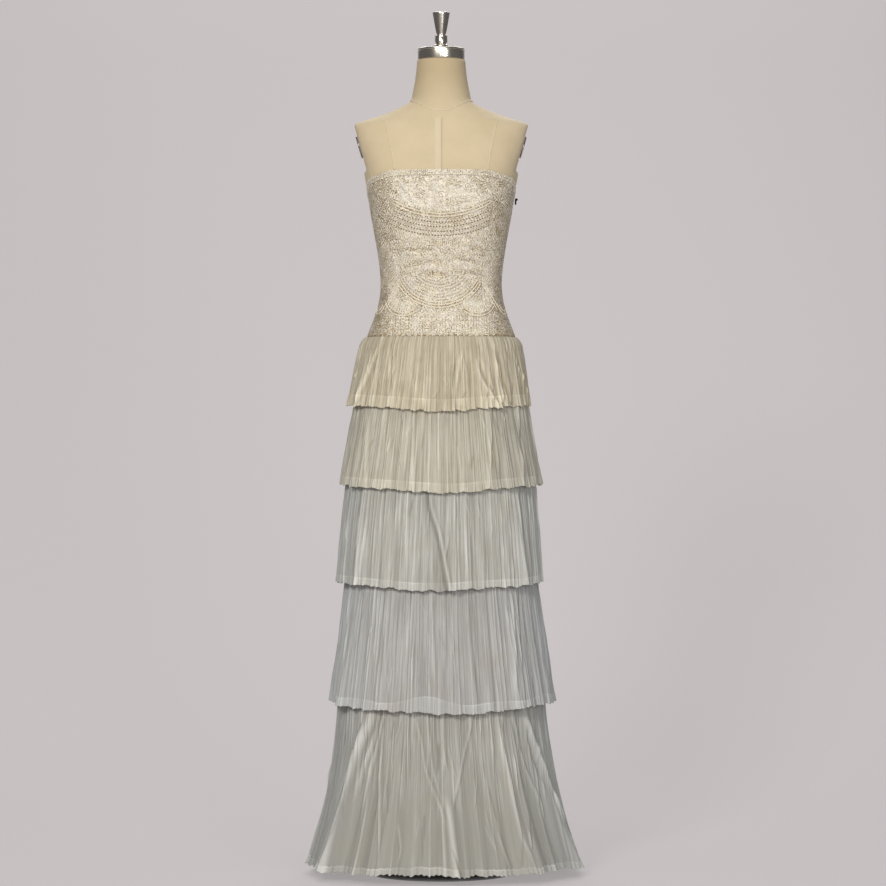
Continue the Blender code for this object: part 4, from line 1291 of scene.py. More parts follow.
def satin_material():
    """Plain satin of the slip, with a faint slub along its length."""
    settings = bpy.context.scene.dress_cloth
    material, tree, shader = new_material("slip_satin")
    uv = cloth_vector(tree)
    lines = use_group(tree, "fine_streaks", vector=uv, line_width=0.004, line_length=0.05)["Lines"]
    age = use_group(tree, "age_marks", vector=place_vector(tree), patch_size=0.09, amount=0.4)
    dark = [c * 0.88 for c in settings.slip_colour]
    base = mixed(tree, times(tree, lines, 0.5), settings.slip_colour, dark)
    base = laid_over(tree, base, age["Patches"], 0.3, dark)
    feed(tree, shader, {"Base Color": base, "Roughness": span(tree, lines, 0.0, 1.0, 0.38, 0.48)})
    weave = use_group(tree, "thread_weave", vector=uv, pitch=settings.weave_pitch)["Height"]
    bump(tree, shader, weighted(tree, lines, 0.5, weave), 0.0002, 0.4)
    return material


def backdrop_material():
    """Plain studio paper."""
    settings = bpy.context.scene.dress_studio
    material, tree, shader = new_material("studio_paper")
    wear = use_group(tree, "surface_wear", vector=place_vector(tree), size=0.8)
    dull = [c * 0.52 for c in settings.paper]
    pale = [c * 0.53 for c in settings.paper]
    base = mixed(tree, wear["Broad"], dull, pale)
    feed(tree, shader, {
        "Base Color": base, "Roughness": 0.95, "Specular IOR Level": 0.1,
        "Emission Color": opaque(settings.paper), "Emission Strength": settings.paper_glow,
    })
    return material


def build_form():
    """The padded form: its cover with the strip of the middle seam, and the piping of its other seams."""
    even = np.linspace(0, 4, 150, endpoint=False)
    seam = np.array([-0.066, -0.06, -0.056, -0.052, -0.01, -0.004, -0.0015, 0.0015, 0.004, 0.008, 0.014])
    turns = np.sort(np.concatenate([even, seam % 4, (2 + seam) % 4]))
    turns = turns[np.concatenate([[True], np.diff(turns) > 0.0012])]
    heights = np.concatenate(
        [
            np.linspace(FORM_BOTTOM, 1.34, 24, endpoint=False),
            np.linspace(1.34, 1.43, 14, endpoint=False),
            np.linspace(1.43, 1.56, 52, endpoint=False),
            np.linspace(1.56, NECK_TOP, 14),
        ]
    )
    turn, z = np.meshgrid(turns, heights)
    points = body_places(turn, z)
    x = points[..., 0]
    low_part = smooth_step(1.508, 1.498, z)
    strip = soft_band(x, -0.013, -0.0112, -0.0004, 0.0006) * low_part
    # Groove beside the tape, which also carries painted shade
    groove = np.exp(-(((x - 0.0012) / 0.0016) ** 2)) * low_part
    middle = np.sign(points[..., 1])
    points[..., 1] += middle * (0.0005 * strip - 0.0005 * groove)
    base = points[:1] * np.array([0.02, 0.02, 1.0])
    top = points[-1:] * np.array([0.02, 0.02, 1.0])
    uv = cloth_uv(points, True)
    rows = np.concatenate([base, points, top])
    uv = np.concatenate([uv[:1] - (0, 0.1), uv, uv[-1:] + (0, 0.05)])
    none = np.zeros_like(strip[:1])
    fields = {
        "strip": np.concatenate([none, strip, none]),
        "groove": np.concatenate([none, groove, none]),
    }
    canvas = canvas_material()
    cover = place("form_cover", surface_grid("form_cover", rows, uv, fields, True), canvas)
    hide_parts("form_body")
    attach(cover, "root")

    paths = []
    for side in (-1, 1):
        for target, low, high in ((0.5, NECKLINE_FRONT, 1.5), (1.5, 1.345, 1.5)):
            z = np.linspace(low, high, 40)
            share = (z - low) / (high - low)
            wide = 0.0925 + 0.019 * share**1.2
            turn = solve_turn(side * wide, z, target > 1)
            paths.append(body_places(turn, z, 0.0003))
        z = np.linspace(1.352, 1.425, 16)
        paths.append(body_places(np.full_like(z, side * 1.0), z, 0.0001))
    turn = np.linspace(0, 4, 120, endpoint=False)
    low, high = np.full_like(turn, 1.505), np.full_like(turn, 1.56)
    for _ in range(24):
        mid = (low + high) / 2
        x, y, _ = body_places(turn, mid).T
        depth = np.where(y < 0, NECK_SEAM_FRONT, NECK_SEAM_BACK)
        within = (x / NECK_SEAM_HALF) ** 2 + (y / depth) ** 2 < 1
        low, high = np.where(within, low, mid), np.where(within, mid, high)
    ring = body_places(turn, low, 0.0002)
    thread = thread_material("form_thread", bpy.context.scene.form_finish.seam_pale, 500.0)
    piping = place("form_piping", tubes("form_piping", paths, 0.001, 6), thread)
    collar = place("form_neck_seam", tubes("form_neck_seam", [ring], 0.0011, 8, closed=True), thread)
    for piece in (piping, collar):
        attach(piece, "root")


def solve_turn(x, z, behind):
    """Turns at which the form is x from the middle, in front or behind."""
    low, high = np.zeros_like(z), np.ones_like(z)
    for _ in range(24):
        mid = (low + high) / 2
        turn = 2 - mid if behind else mid
        near = np.abs(body_places(turn, z)[..., 0]) < np.abs(x)
        low, high = np.where(near, mid, low), np.where(near, high, mid)
    turn = 2 - low if behind else low
    return np.where(x < 0, -turn, turn)


def wrinkle_depth(wrinkles, distance, z):
    """Depth that a list of wrinkles presses into the cloth."""
    depth = np.zeros_like(z)
    for wrinkle in wrinkles:
        run, rise = wrinkle.s_b - wrinkle.s_a, wrinkle.z_b - wrinkle.z_a
        long = run * run + rise * rise
        along = ((distance - wrinkle.s_a) * run + (z - wrinkle.z_a) * rise) / long
        held = np.clip(along, 0, 1)
        bow = 0.004 * np.sin(math.pi * held)
        off = np.hypot(distance - wrinkle.s_a - run * held, z - wrinkle.z_a - rise * held - bow)
        fade = np.sin(math.pi * np.clip(0.08 + 0.84 * held, 0, 1))
        lips = np.exp(-(((off - 1.8 * wrinkle.width) / wrinkle.width) ** 2))
        depth += wrinkle.depth * fade * (np.exp(-((off / wrinkle.width) ** 2)) - 1.3 * lips)
    return depth


def stripes(value, sharp=1.0):
    """Rounded ridges, one for each whole step of a value."""
    return (0.5 + 0.5 * np.cos(2 * math.pi * value)) ** sharp


def polar(scallop, distance, z):
    """Distance and angle of places from the centre of a scallop, the angle from straight down."""
    across, up = distance - scallop.middle, scallop.height - z
    return np.hypot(across, up), np.arctan2(across, up)


def swirls(turn, z):
    """Winding lines of stitches that cover the lace between its figures."""
    around = turn * math.pi / 2
    phase = np.sin(27 * around + 1.6 * np.sin(z * 210)) + np.sin(19 * around + z * 190 + 1.0)
    phase += 0.9 * np.sin(z * 230 + 1.4 * np.sin(23 * around + 0.5))
    return stripes(phase * 0.0054 / SWIRL_PITCH, 1.3)


def hatching(turn, z):
    """Slanting stitches that change direction from one diamond to the next."""
    around = turn * 0.2
    rise, fall = (around + z) / HATCH_CELL, (around - z) / HATCH_CELL
    change = (np.floor(rise) + np.floor(fall)) % 2
    lines = HATCH_CELL / HATCH_PITCH
    pattern = np.where(change > 0, stripes(rise * lines, 1.3), stripes(fall * lines, 1.3))
    edge = np.minimum(np.abs((rise + 0.5) % 1 - 0.5), np.abs((fall + 0.5) % 1 - 0.5))
    return 0.12 + 0.68 * pattern * (0.4 + 0.6 * smooth_step(0.0, 0.1, edge))


def lace_fields(turn, z):
    """Relief of the lace, below zero beside its cords and 1 on its ribs, which also lays painted shade in its
    grooves, wrinkle troughs and hip edge; its gloss with painted highlights, wrinkles and stains.
    """
    front, back = distances(turn, z)
    ribs = 0.45 * swirls(turn, z)
    beside = smooth_step(0.098, 0.112, np.minimum(np.abs(front), np.abs(back)))

    def work(zone, pattern):
        """Lays a worked figure over the ground of stitches."""
        return ribs + (pattern - ribs) * zone

    ribs = work(beside * smooth_step(1.15, 1.17, z), hatching(turn, z))
    for side, distance in (("front", front), ("back", back)):
        near = smooth_step(0.112, 0.098, np.abs(distance))
        band, big, small_right, small_left = [s for s in SCALLOPS if s.side == side]
        radius, angle = polar(band, distance, z)
        beyond = radius - band.radius
        near_middle = smooth_step(0.112, 0.09, np.abs(distance))
        zone = near_middle * soft_band(beyond, *EYELET_ZONE)
        ribs = work(near * zone, 0.05 + 0.25 * stripes(distance / 0.0056))
        zone = near_middle * soft_band(beyond, *FRINGE_ZONE)
        ribs = work(near * zone, stripes(angle * 62 / (2 * math.pi) * 6.2, 1.4))
        zone = soft_band(beyond, *RAY_ZONE)
        ribs = work(near * zone, stripes(angle * 34, 1.2))
        row = z / 0.0115
        slant = np.where(np.floor(row) % 2 > 0, 1.0, -1.0)
        chevron = stripes(distance / 0.0058 + slant * (row % 1.0) * 1.1, 1.2)
        chevron *= np.sin(math.pi * (row % 1.0)) ** 0.5
        zone = soft_band(z, *CHEVRON_ZONE) * (beyond > 0.057)
        ribs = work(0.55 * near * zone, chevron)
        radius, angle = polar(big, distance, z)
        inside = smooth_step(big.radius - CORD_APART - 0.001, big.radius - CORD_APART - 0.003, radius)
        inside = inside * smooth_step(1.196, 1.188, z)
        beads = stripes(radius / 0.0062, 1.2) * (0.45 + 0.55 * stripes(angle * radius / 0.0052))
        ribs = work(0.7 * near * inside, beads)
        ends = soft_band(np.abs(distance), *END_ACROSS) * soft_band(z, *END_HEIGHTS)
        ribs = work(ends, stripes((z + np.abs(distance) * 0.9) / 0.006, 1.5))
        outside = radius > big.radius + 0.0015
        for small in (small_right, small_left):
            reach, angle = polar(small, distance, z)
            zone = (reach < small.radius - CORD_APART - 0.001) & outside & (small.height - z > -0.01)
            fan = stripes(angle * 44 / (2 * math.pi), 1.3) * smooth_step(0.018, 0.02, reach)
            ribs = work(zone, 0.2 + 0.8 * fan)
        zone = smooth_step(1.118, 1.11, z) * outside
        ribs = work(0.5 * near * zone, stripes(distance / 0.0056, 1.3) * (0.4 + 0.6 * stripes(z / 0.0085)))
    glossy = [
        smooth_step(1.04, 0.9, np.hypot((distance - middle) / wide, (z - height) / tall))
        for distance, (middle, height, wide, tall) in ((front, FRONT_OVAL), (back, BACK_OVAL))
    ]
    satin = 0.5 * np.maximum(glossy[0], 0.6 * glossy[1])
    ribs = ribs * (1 - 0.5 * satin)
    # Painted highlights, which also make the lace glossier
    for across, height, wide, tall, strength in GLINTS:
        spot = strength * np.exp(-(((front - across) / wide) ** 2) - ((z - height) / tall) ** 2)
        satin = np.maximum(satin, spot)
    # Painted shade in the grooves beside each cord, which also sink the cloth a little
    for scallop in SCALLOPS:
        radius, angle = polar(scallop, front if scallop.side == "front" else back, z)
        angle = np.degrees(angle)
        within = soft_band(angle, scallop.first - 3, scallop.first, scallop.last, scallop.last + 3)
        for groove in (0.0022, -CORD_APART / 2, -CORD_APART - 0.0022):
            ribs = ribs - 0.36 * within * np.exp(-(((radius - scallop.radius - groove) / 0.0012) ** 2))
    # Painted shadow along the hip edge, broken into short gaps, where the edge also sinks
    edge = smooth_step(HIP_SEAM + 0.004, HIP_SEAM, z) * (0.5 + 0.5 * np.sin(front * 520))
    ribs = np.clip(ribs - 1.1 * edge, -1, 1)
    wrinkled = wrinkle_depth(WRINKLES, front, z) + wrinkle_depth(WRINKLES_BEHIND, back, z)
    # Painted highlight on the wrinkle crests and painted shade in their troughs
    satin = np.maximum(satin, 0.42 * np.clip(wrinkled / 0.0024, 0, 1))
    ribs = ribs - 0.22 * np.clip(-wrinkled / 0.0014, 0, 1)
    stained = np.zeros_like(z)
    for across, height, wide, strength in STAINS:
        spot = ((front - across) / wide) ** 2 + ((z - height) / (wide * 0.6)) ** 2
        stained = np.maximum(stained, strength * np.exp(-spot))
    return ribs, satin, wrinkled, stained


def bodice_heights(turn, share):
    """Heights over a bodice panel, from the hip seam at 0 to the band at 1."""
    low, high = BODICE_ROWS[0][0], BODICE_ROWS[-1][0]
    z = low + (high - low) * share
    pull = blend_rows(BODICE_ROWS, z)[..., 1]
    return z + pull * (neckline_height(turn) - NECKLINE_FRONT)


def build_bodice():
    """Six lace panels with turned-in edges, their raised cords and the eyelets under the bust."""
    settings = bpy.context.scene.dress_cloth
    lace = lace_material()
    base = CLOTH_GAP + 0.0008
    for panel in PANELS:
        turns = np.linspace(panel.first, panel.last, panel.columns)
        shares = np.linspace(0, 1, panel.rows)
        turn, share = np.meshgrid(turns, shares)
        z = bodice_heights(turn, share)
        front, _ = distances(turn, z)
        z -= (0.0014 + 0.0008 * np.sin(front * 520)) * smooth_step(0.03, 0.0, share)
        ribs, satin, wrinkled, stained = lace_fields(turn, z)
        from_seam = np.minimum(turn - panel.first, panel.last - turn) * 0.21
        crease = 0.0003 * np.exp(-((from_seam / 0.002) ** 2))
        grow = base + settings.lace_relief * ribs + wrinkled - crease
        grow = np.maximum(grow, CLOTH_GAP * 0.75)
        points = body_places(turn, z, grow)
        edge = body_places(turn[:, [0, -1]], z[:, [0, -1]], 0.0002)
        points = np.concatenate([edge[:, :1], points, edge[:, 1:]], axis=1)
        under = points[:1] * np.array([0.994, 0.994, 1.0]) + np.array([0.0, 0.0, 0.0008])
        points = np.concatenate([under, points])
        fields = {}
        front, back = distances(turn, z)
        # Darker lace towards the sides: partly a more open net, partly painted shade of the sides turning
        # from the light
        beside = smooth_step(0.085, 0.125, np.minimum(np.abs(front), np.abs(back)))
        named = (("raised", ribs), ("satin", satin), ("stained", stained), ("open_net_and_side_shade", beside))
        for field, values in named:
            values = np.pad(values, ((0, 0), (1, 1)), mode="edge")
            fields[field] = np.concatenate([values[:1], values])
        uv = cloth_uv(points, False)
        uv[..., 0] += (panel.first % 4) * 0.2
        mesh = surface_grid(panel.name, points, uv, fields, False)
        piece = place(panel.name + "_lace", mesh, lace)
        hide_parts(panel.name)
        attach(piece, "root")

    thread = thread_material("lace_cord", settings.lace_thread, 420.0)
    cords = place("bodice_cords", tubes("bodice_cords", cord_paths(), CORD_RADIUS, 6), thread)
    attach(cords, "root")
    eyelets = build_eyelets(thread)


def cord_paths():
    """Paths of the double cords on the lace."""
    outside = CLOTH_GAP + 0.001
    paths = []
    for scallop in SCALLOPS:
        for radius in (scallop.radius, scallop.radius - CORD_APART):
            count = int(math.radians(scallop.last - scallop.first) * radius / 0.0022)
            angle = np.radians(np.linspace(scallop.first, scallop.last, count))
            distance = scallop.middle + radius * np.sin(angle)
            z = scallop.height - radius * np.cos(angle)
            turn = turn_at(scallop.side, distance, z)
            _, _, wrinkled, _ = lace_fields(turn, z)
            paths.append(body_places(turn, z, outside + wrinkled))
    for side, far in ((-1, "front"), (1, "front"), (-1, "back"), (1, "back")):
        for shift in (0.0, CORD_APART):
            share = np.linspace(0, 1, 26)
            distance = side * (0.086 + 0.034 * share + shift * 0.5)
            z = 1.17 - 0.046 * share + shift
            turn = turn_at(far, distance, z)
            paths.append(body_places(turn, z, outside))
    for sign in (-1, 1):
        for middle in (0.148, 0.196, 0.244):
            for radius in (0.026, 0.026 - CORD_APART):
                angle = np.radians(np.linspace(-66, 66, 24))
                distance = sign * middle + radius * np.sin(angle)
                z = 1.142 - radius * np.cos(angle)
                paths.append(body_places(turn_at("front", distance, z), z, outside))
    return paths


def build_eyelets(thread):
    """Rows of small worked eyelets below the bust band, in front and behind, each with a dark disc of painted
    shade in its hole.
    """
    holes, points, faces = [], [], []
    outside = CLOTH_GAP + 0.0011
    step = 0.0005
    for side in ("front", "back"):
        band = next(s for s in SCALLOPS if s.side == side)
        for extra in EYELET_ROWS:
            radius = band.radius + extra
            half = math.radians(27.0 if side == "front" else 28.0)
            count = int(2 * half * radius / EYELET_PITCH)
            angle = np.linspace(-half, half, count)
            distance = band.middle + radius * np.sin(angle)
            z = band.height - radius * np.cos(angle)
            turn = turn_at(side, distance, z)
            middle = body_places(turn, z, outside)
            right = body_places(turn + step, z, outside) - body_places(turn - step, z, outside)
            up = body_places(turn, z + step, outside) - body_places(turn, z - step, outside)
            right /= np.linalg.norm(right, axis=1, keepdims=True)
            up /= np.linalg.norm(up, axis=1, keepdims=True)
            holes += zip(middle, right, up, np.cross(right, up))
    steps, sides = 9, 4
    for centre, across, high, away in holes:
        base = len(points)
        for i in range(steps):
            a = 2 * math.pi * i / steps
            ray = across * math.cos(a) + high * math.sin(a)
            for k in range(sides):
                b = 2 * math.pi * k / sides
                reach = EYELET_HOLE + EYELET_THREAD * (1 + math.cos(b))
                points.append(centre + ray * reach + away * EYELET_THREAD * math.sin(b))
        faces += joined_rings(base, sides, [(i, (i + 1) % steps) for i in range(steps)])
    ring_faces = len(faces)
    for centre, across, high, away in holes:
        base = len(points)
        for i in range(steps):
            a = 2 * math.pi * i / steps
            ray = across * math.cos(a) + high * math.sin(a)
            points.append(centre + ray * (EYELET_HOLE + EYELET_THREAD * 0.6) + away * 0.0001)
        faces.append(tuple(range(base, base + steps)))
    mesh = plain_mesh("bodice_eyelets", points, faces)
    # Painted shade: a dark disc fills each hole
    dark, tree, shader = new_material("eyelet_hole_shade")
    tone = use_group(tree, "surface_wear", vector=place_vector(tree), size=0.004)["Broad"]
    base = mixed(tree, tone, (0.07, 0.04, 0.02), (0.14, 0.09, 0.05))
    feed(tree, shader, {"Base Color": base, "Roughness": 0.9})
    eyelets = place("bodice_eyelets", mesh, thread, dark)
    marks = np.zeros(len(faces), dtype=np.int32)
    marks[ring_faces:] = 1
    mesh.polygons.foreach_set("material_index", marks)
    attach(eyelets, "root")
    return eyelets


def build_band():
    """The narrow lace band round the neckline, with a corded upper edge."""
    turns = np.linspace(0, 4, 900, endpoint=False)
    low = SEAM_GAP - BAND_HEIGHT
    profile = (
        (low + 0.001, 0.0005), (low, 0.0008), (low + 0.0004, 0.0012), (low + 0.0022, 0.0015),
        (low + 0.0045, 0.0014), (low + 0.007, 0.0014), (low + 0.009, 0.0017), (-0.002, 0.0022),
        (-0.0008, 0.0024), (0.0, 0.0021), (-0.0002, 0.0011), (-0.0016, 0.0005), (-0.006, 0.0004),
    )
    rows, raised = [], []
    for index, (rise, out) in enumerate(profile):
        z = neckline_height(turns) + rise
        front, _ = distances(turns, z)
        beads = stripes(front / 0.0036 + 0.15 * np.sin(front * 90), 1.2)
        worked = (2 <= index <= 8) * (0.4 if 4 <= index <= 5 else 1.0)
        rows.append(body_places(turns, z, CLOTH_GAP + out + 0.0004 * worked * (beads - 0.5)))
        raised.append(beads * (0.35 if 4 <= index <= 5 else 0.85))
    points = np.array(rows)
    none = np.zeros(points.shape[:2])
    fields = {"raised": np.array(raised), "satin": none, "stained": none, "open_net_and_side_shade": none}
    mesh = surface_grid("neckline_band", points, cloth_uv(points, True), fields, True)
    band = place("neckline_band_lace", mesh, bpy.data.materials["lace_embroidery"])
    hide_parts("neckline_band")
    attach(band, "root")


def build_slip():
    """The plain slip skirt under the tiers, with a narrow turned hem."""
    turns = np.linspace(0, 4, 160, endpoint=False)
    heights = np.concatenate([[0.0601, 0.06, 0.0612], np.linspace(0.075, HIP_SEAM - 0.0012, 46)])
    turn, z = np.meshgrid(turns, heights)
    soft = 0.0012 * np.sin(turn * math.pi * 4.5 + z * 3) * smooth_step(0.9, 0.3, z)
    grow = SLIP_WALL + soft * 0.5
    grow[0] = 0.0
    points = slip_places(turn, z, grow)
    mesh = surface_grid("slip_skirt", points, cloth_uv(points, True), {}, True)
    slip = place("slip_skirt_satin", mesh, satin_material())
    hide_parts("slip_skirt")
    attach(slip, "root")


def tier_sheet(tier, cloth):
    """Rows of points of a tier's cloth from its seam to its hem and up behind it, and its fields."""
    settings = bpy.context.scene.dress_cloth
    crinkles = Crinkles(tier, cloth)
    creases = [crease for crease in CREASES if crease.tier == tier.name] + short_creases(tier)
    turns = np.linspace(0, 4, TIER_COLUMNS, endpoint=False)
    lost = pleat_losses(tier, turns)
    drop = tier.seam - hem_height(tier, turns)
    draw = np.random.default_rng(tier.seed + 7)
    around = turns * math.pi / 2
    uneven = sum(np.sin(around * waves + draw.uniform(0, 6.3)) for waves in HEM_RIPPLES)
    wave = sum(np.exp(-((signed_distance(turns, crest) / 0.17) ** 2)) for crest in HEM_BAND_CRESTS)
    wave = cloth.wave * (1.3 * wave - 0.4 + 0.22 * np.sin(around * cloth.waves + tier.seed))
    frill = np.sin(around * 141 + 1.5 * np.sin(around * 23 + tier.seed))
    stitched = 1 - (cloth.hem_depth + wave) / drop
    gather = SLIP_WALL + SEAM_GAP + GATHER_DEPTH * (1 - lost) + TIER_WALL
    seam_row = slip_places(turns, tier.seam - SEAM_GAP, gather)
    rows = {name: [] for name in ("points", "ridge", "doubled", "pale", "shade", "crisp", "cool")}

    def add_row(share, back=0.0, lower=0.0, double=0.0):
        """One row of the cloth at shares of the drop, set back behind its outer face."""
        share = np.zeros_like(turns) + share
        mean = float(np.mean(share))
        along = np.clip((share - PUFF_SHARE) / (1 - PUFF_SHARE), 0, 1)
        width = tier.puff + (tier.spread - tier.puff) * along + tier.bow * 4 * along * (1 - along)
        front = width * (tier.front_puff + (tier.front_hem - tier.front_puff) * along)
        quarter = 1.11 * math.hypot(float(np.mean(width)), float(np.mean(front)))
        ridge = crinkles.ridge(turns, mean)
        lift = fold_lift(tier, turns, mean)
        creased, pale = crease_lift(tier, turns, mean, quarter, creases)
        depth = tier.pleat * (PLEAT_AT_SEAM + (1 - PLEAT_AT_SEAM) * share) * lost
        ruffle = 1 + cloth.ruffle * smooth_step(1 - 1.6 * cloth.hem_depth / drop, 1.0, share)
        crinkle = settings.crinkle_depth * ruffle * (ridge - CRINKLE_LEVEL)
        at_hem = smooth_step(0.93, 1.0, share)
        grow = lift + creased - depth + crinkle - back + FRILL_DEPTH * cloth.ruffle * at_hem * frill
        z = tier.seam - drop * share - lower
        z = z - (HEM_RUFFLE_DIP * (ridge - 0.4) + HEM_UNEVEN * (uneven + cloth.ruffle * frill)) * at_hem
        row, _ = section_places(width, front, front + width * BACK_FULLER, SKIRT_SQUARE, turns, z, grow)
        row[:, 0] += tier.sway * share
        rows["points"].append(row)
        rows["ridge"].append(ridge)
        rows["doubled"].append(np.full_like(turns, double) * (0.65 + 0.35 * np.sin(around * 13 + tier.seed)))
        # Large folds that stand out get a painted highlight
        rows["pale"].append(np.clip(pale + np.clip(lift / 0.022, 0, 1) * 0.35, -1, 1))
        rows["shade"].append(tier_shade(tier, turns, mean))
        calm = smooth_step(0.35, 0.8, mean) * (0.8 if cloth.lasting < 0.5 else 0.1)
        rows["crisp"].append(np.full_like(turns, 1 - calm))
        middle = np.minimum(np.abs(signed_distance(turns, 0)), np.abs(signed_distance(turns, 2)))
        # Painted light of the grey room, strongest at the sides of the tier
        rows["cool"].append(PAINTED_ROOM_LIGHT[tier.name] * smooth_step(0.4, 0.95, middle))
        return row

    puff = add_row(PUFF_SHARE)
    for name in rows:
        rows[name].clear()
    head = add_row(0.0)
    head[:] = slip_places(turns, tier.seam - SEAM_GAP, SLIP_WALL + SEAM_GAP)
    for share in np.linspace(0, PUFF_SHARE, 7, endpoint=False):
        row = add_row(share)
        part = share / PUFF_SHARE
        row[:, :2] = seam_row[:, :2] + (puff[:, :2] - seam_row[:, :2]) * part * (1.35 - 0.35 * part)
        away = row[:, :2] / np.linalg.norm(row[:, :2], axis=1, keepdims=True)
        bulge = GATHER_BULGE * (rows["ridge"][-1] - 0.3) * math.sin(math.pi * min(1.0, part + 0.2))
        row[:, :2] += away * bulge[:, None]
    last = stitched - ABOVE_STITCHES / drop
    for part in np.linspace(0, 1, cloth.rows):
        add_row(PUFF_SHARE + (last - PUFF_SHARE) * part)
    for below, back, double in STITCH_ROWS:
        add_row(stitched + below / drop, back=back, double=double)
    for part in (0.34, 0.52, 0.72, 0.9, 1.0):
        add_row(stitched + (1 - stitched) * part, double=1.0)
    for back, lower in HEM_FOLD_ROWS:
        add_row(1.0, back=back, lower=lower, double=1.0)
    for part in (0.4, 1.0):
        add_row(1 - (1 - stitched) * part, back=0.0016, double=1.0)
    points = np.array(rows.pop("points"))[::-1]
    return points, {name: np.array(values)[::-1] for name, values in rows.items()}


def build_tiers():
    """The five tiers of fine pleated sheer cloth, each gathered at its seam and with a turned-up hem."""
    settings = bpy.context.scene.dress_cloth
    # The tiers run from warm ivory at the top to cool grey at the hem: partly the cloth's own tone, partly
    # painted light that is warm above and cool below
    colours = {
        "tier_1": (settings.ivory, settings.ivory_under, 0.9),
        "tier_2": (settings.ivory_low, settings.ivory_low_under, 0.5),
        "tier_3": (settings.grey, settings.grey_under, 0.35),
        "tier_4": (settings.grey_low, settings.grey_low_under, 0.3),
        "tier_5": (settings.grey_hem, settings.grey_hem_under, 0.3),
    }
    for tier, cloth in zip(TIERS, CLOTHS):
        points, fields = tier_sheet(tier, cloth)
        mesh = surface_grid(tier.name, points, cloth_uv(points, True), fields, True)
        pale, under, marks = colours[tier.name]
        material = chiffon_material(tier.name + "_chiffon", pale, under, cloth.paler, marks)
        piece = place(tier.name + "_pleats", mesh, material)
        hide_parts(tier.name)
        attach(piece, "root")


def build_fittings():
    """The polished neck cap and flared knob, and the plates over the armholes."""
    finish = bpy.context.scene.form_finish
    chrome = metal_material("polished_chrome", finish.metal, finish.metal_smooth, finish.metal_smooth + 0.08)
    # Painted shade: the arm plates get a darker, duller copy of the polished metal of the cap and knob
    dark = [c * 0.62 for c in finish.metal]
    dull = finish.metal_smooth + 0.05
    shaded_plate_chrome = metal_material("shaded_plate_chrome", dark, dull, dull + 0.1)
    low = NECK_TOP + SEAM_GAP
    top = low + CAP_HEIGHT
    profile = [(0.0, top)]
    profile += [(radius, top + 0.0001 * (i % 2)) for i, radius in enumerate((0.01, 0.02, 0.03, 0.04))]
    for i in range(7):
        angle = math.pi / 2 * i / 6
        radius = CAP_RADIUS - CAP_ROUND + CAP_ROUND * math.sin(angle)
        profile.append((radius, top - CAP_ROUND + CAP_ROUND * math.cos(angle)))
    groove = CAP_RADIUS - 0.0005
    profile += [(CAP_RADIUS, top - 0.004), (groove, top - 0.0046), (groove, top - 0.0054)]
    profile += [(CAP_RADIUS, top - 0.006), (CAP_RADIUS, low + 0.003), (CAP_RADIUS - 0.0004, low + 0.0012)]
    profile += [(CAP_RADIUS - 0.0012, low), (0.0, low)]
    cap = place("neck_cap_turned", turned("neck_cap_turned", profile, 128), chrome)
    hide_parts("neck_cap")
    low = top + SEAM_GAP
    profile = [(radius, low + KNOB_HEIGHT * share) for radius, share in KNOB_OUTLINE]
    knob = place("neck_knob_turned", turned("neck_knob_turned", profile, 96), chrome)
    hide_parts("neck_knob")
    half = ARM_PLATE_THICK / 2
    profile = [(share, half - depth) for share, depth in ARM_PLATE_FACE]
    profile += [(0.497, 0.0008 - half), (0.484, -half), (0.0, -half)]
    lean = math.atan(ARM_LEAN)
    out = half + SEAM_GAP
    pieces = [cap, knob]
    for side, name in ((1, "arm_plate_left"), (-1, "arm_plate_right")):
        mesh = turned(name + "_turned", profile, 96, (ARM_PLATE_TALL, ARM_PLATE_WIDE))
        upright = Matrix.Rotation(side * (math.pi / 2 + lean), 4, "Y")
        reach = side * (ARM_REACH + out * math.cos(lean))
        mesh.transform(Matrix.Translation((reach, 0, ARM_HEIGHT - out * math.sin(lean))) @ upright)
        plate = place(name + "_turned", mesh, shaded_plate_chrome)
        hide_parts(name)
        pieces.append(plate)
    for piece in pieces:
        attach(piece, "root")


def build_stand():
    """Finish of the pole and foot of the stand, which keep their solids."""
    finish = bpy.context.scene.form_finish
    steel = metal_material("stand_steel", finish.stand_metal, 0.45, 0.6)
    steel.node_tree.nodes["Principled BSDF"].inputs["Metallic"].default_value = 0.0
    for name in ("stand_pole", "stand_base"):
        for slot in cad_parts[name].material_slots:
            slot.material = steel


def build_hook():
    """The small dark hook and thread eye at the head of the side opening."""
    seat = body_places(np.array([SIDE_SEAM]), np.array([HOOK_Z]), CLOTH_GAP + BAND_WALL + SEAM_GAP)[0]
    out = seat + np.array([HOOK_THICK * 0.5 + 0.0008, 0, 0])
    angle = np.linspace(-0.5 * math.pi, 1.5 * math.pi, 18)
    paths = [[out + (HOOK_BEND * math.cos(a) + 0.002, 0, HOOK_BEND * math.sin(a) + 0.003) for a in angle]]
    for side in (1, -1):
        paths.append([out + (0.0006, side * 0.0016, rise) for rise in np.linspace(-0.0044, 0.0012, 6)])
    for side in (-1, 1):
        centre = out + (0.0006, side * 0.0022, -0.0042)
        around = np.linspace(0, 5.8, 12)
        paths.append([centre + HOOK_EYE * np.array([0, math.cos(a), math.sin(a)]) for a in around])
    material, tree, shader = new_material("blackened_hook")
    wear = use_group(tree, "surface_wear", vector=place_vector(tree), size=0.003)
    base = mixed(tree, wear["Broad"], (0.006, 0.006, 0.006), (0.02, 0.018, 0.016))
    rough = span(tree, wear["Fine"], 0.3, 0.7, 0.6, 0.8)
    feed(tree, shader, {"Base Color": base, "Roughness": rough, "Specular IOR Level": 0.15})
    hook = place("side_hook_wire", tubes("side_hook_wire", paths, HOOK_WIRE, 8), material)
    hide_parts("side_hook")
    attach(hook, "root")


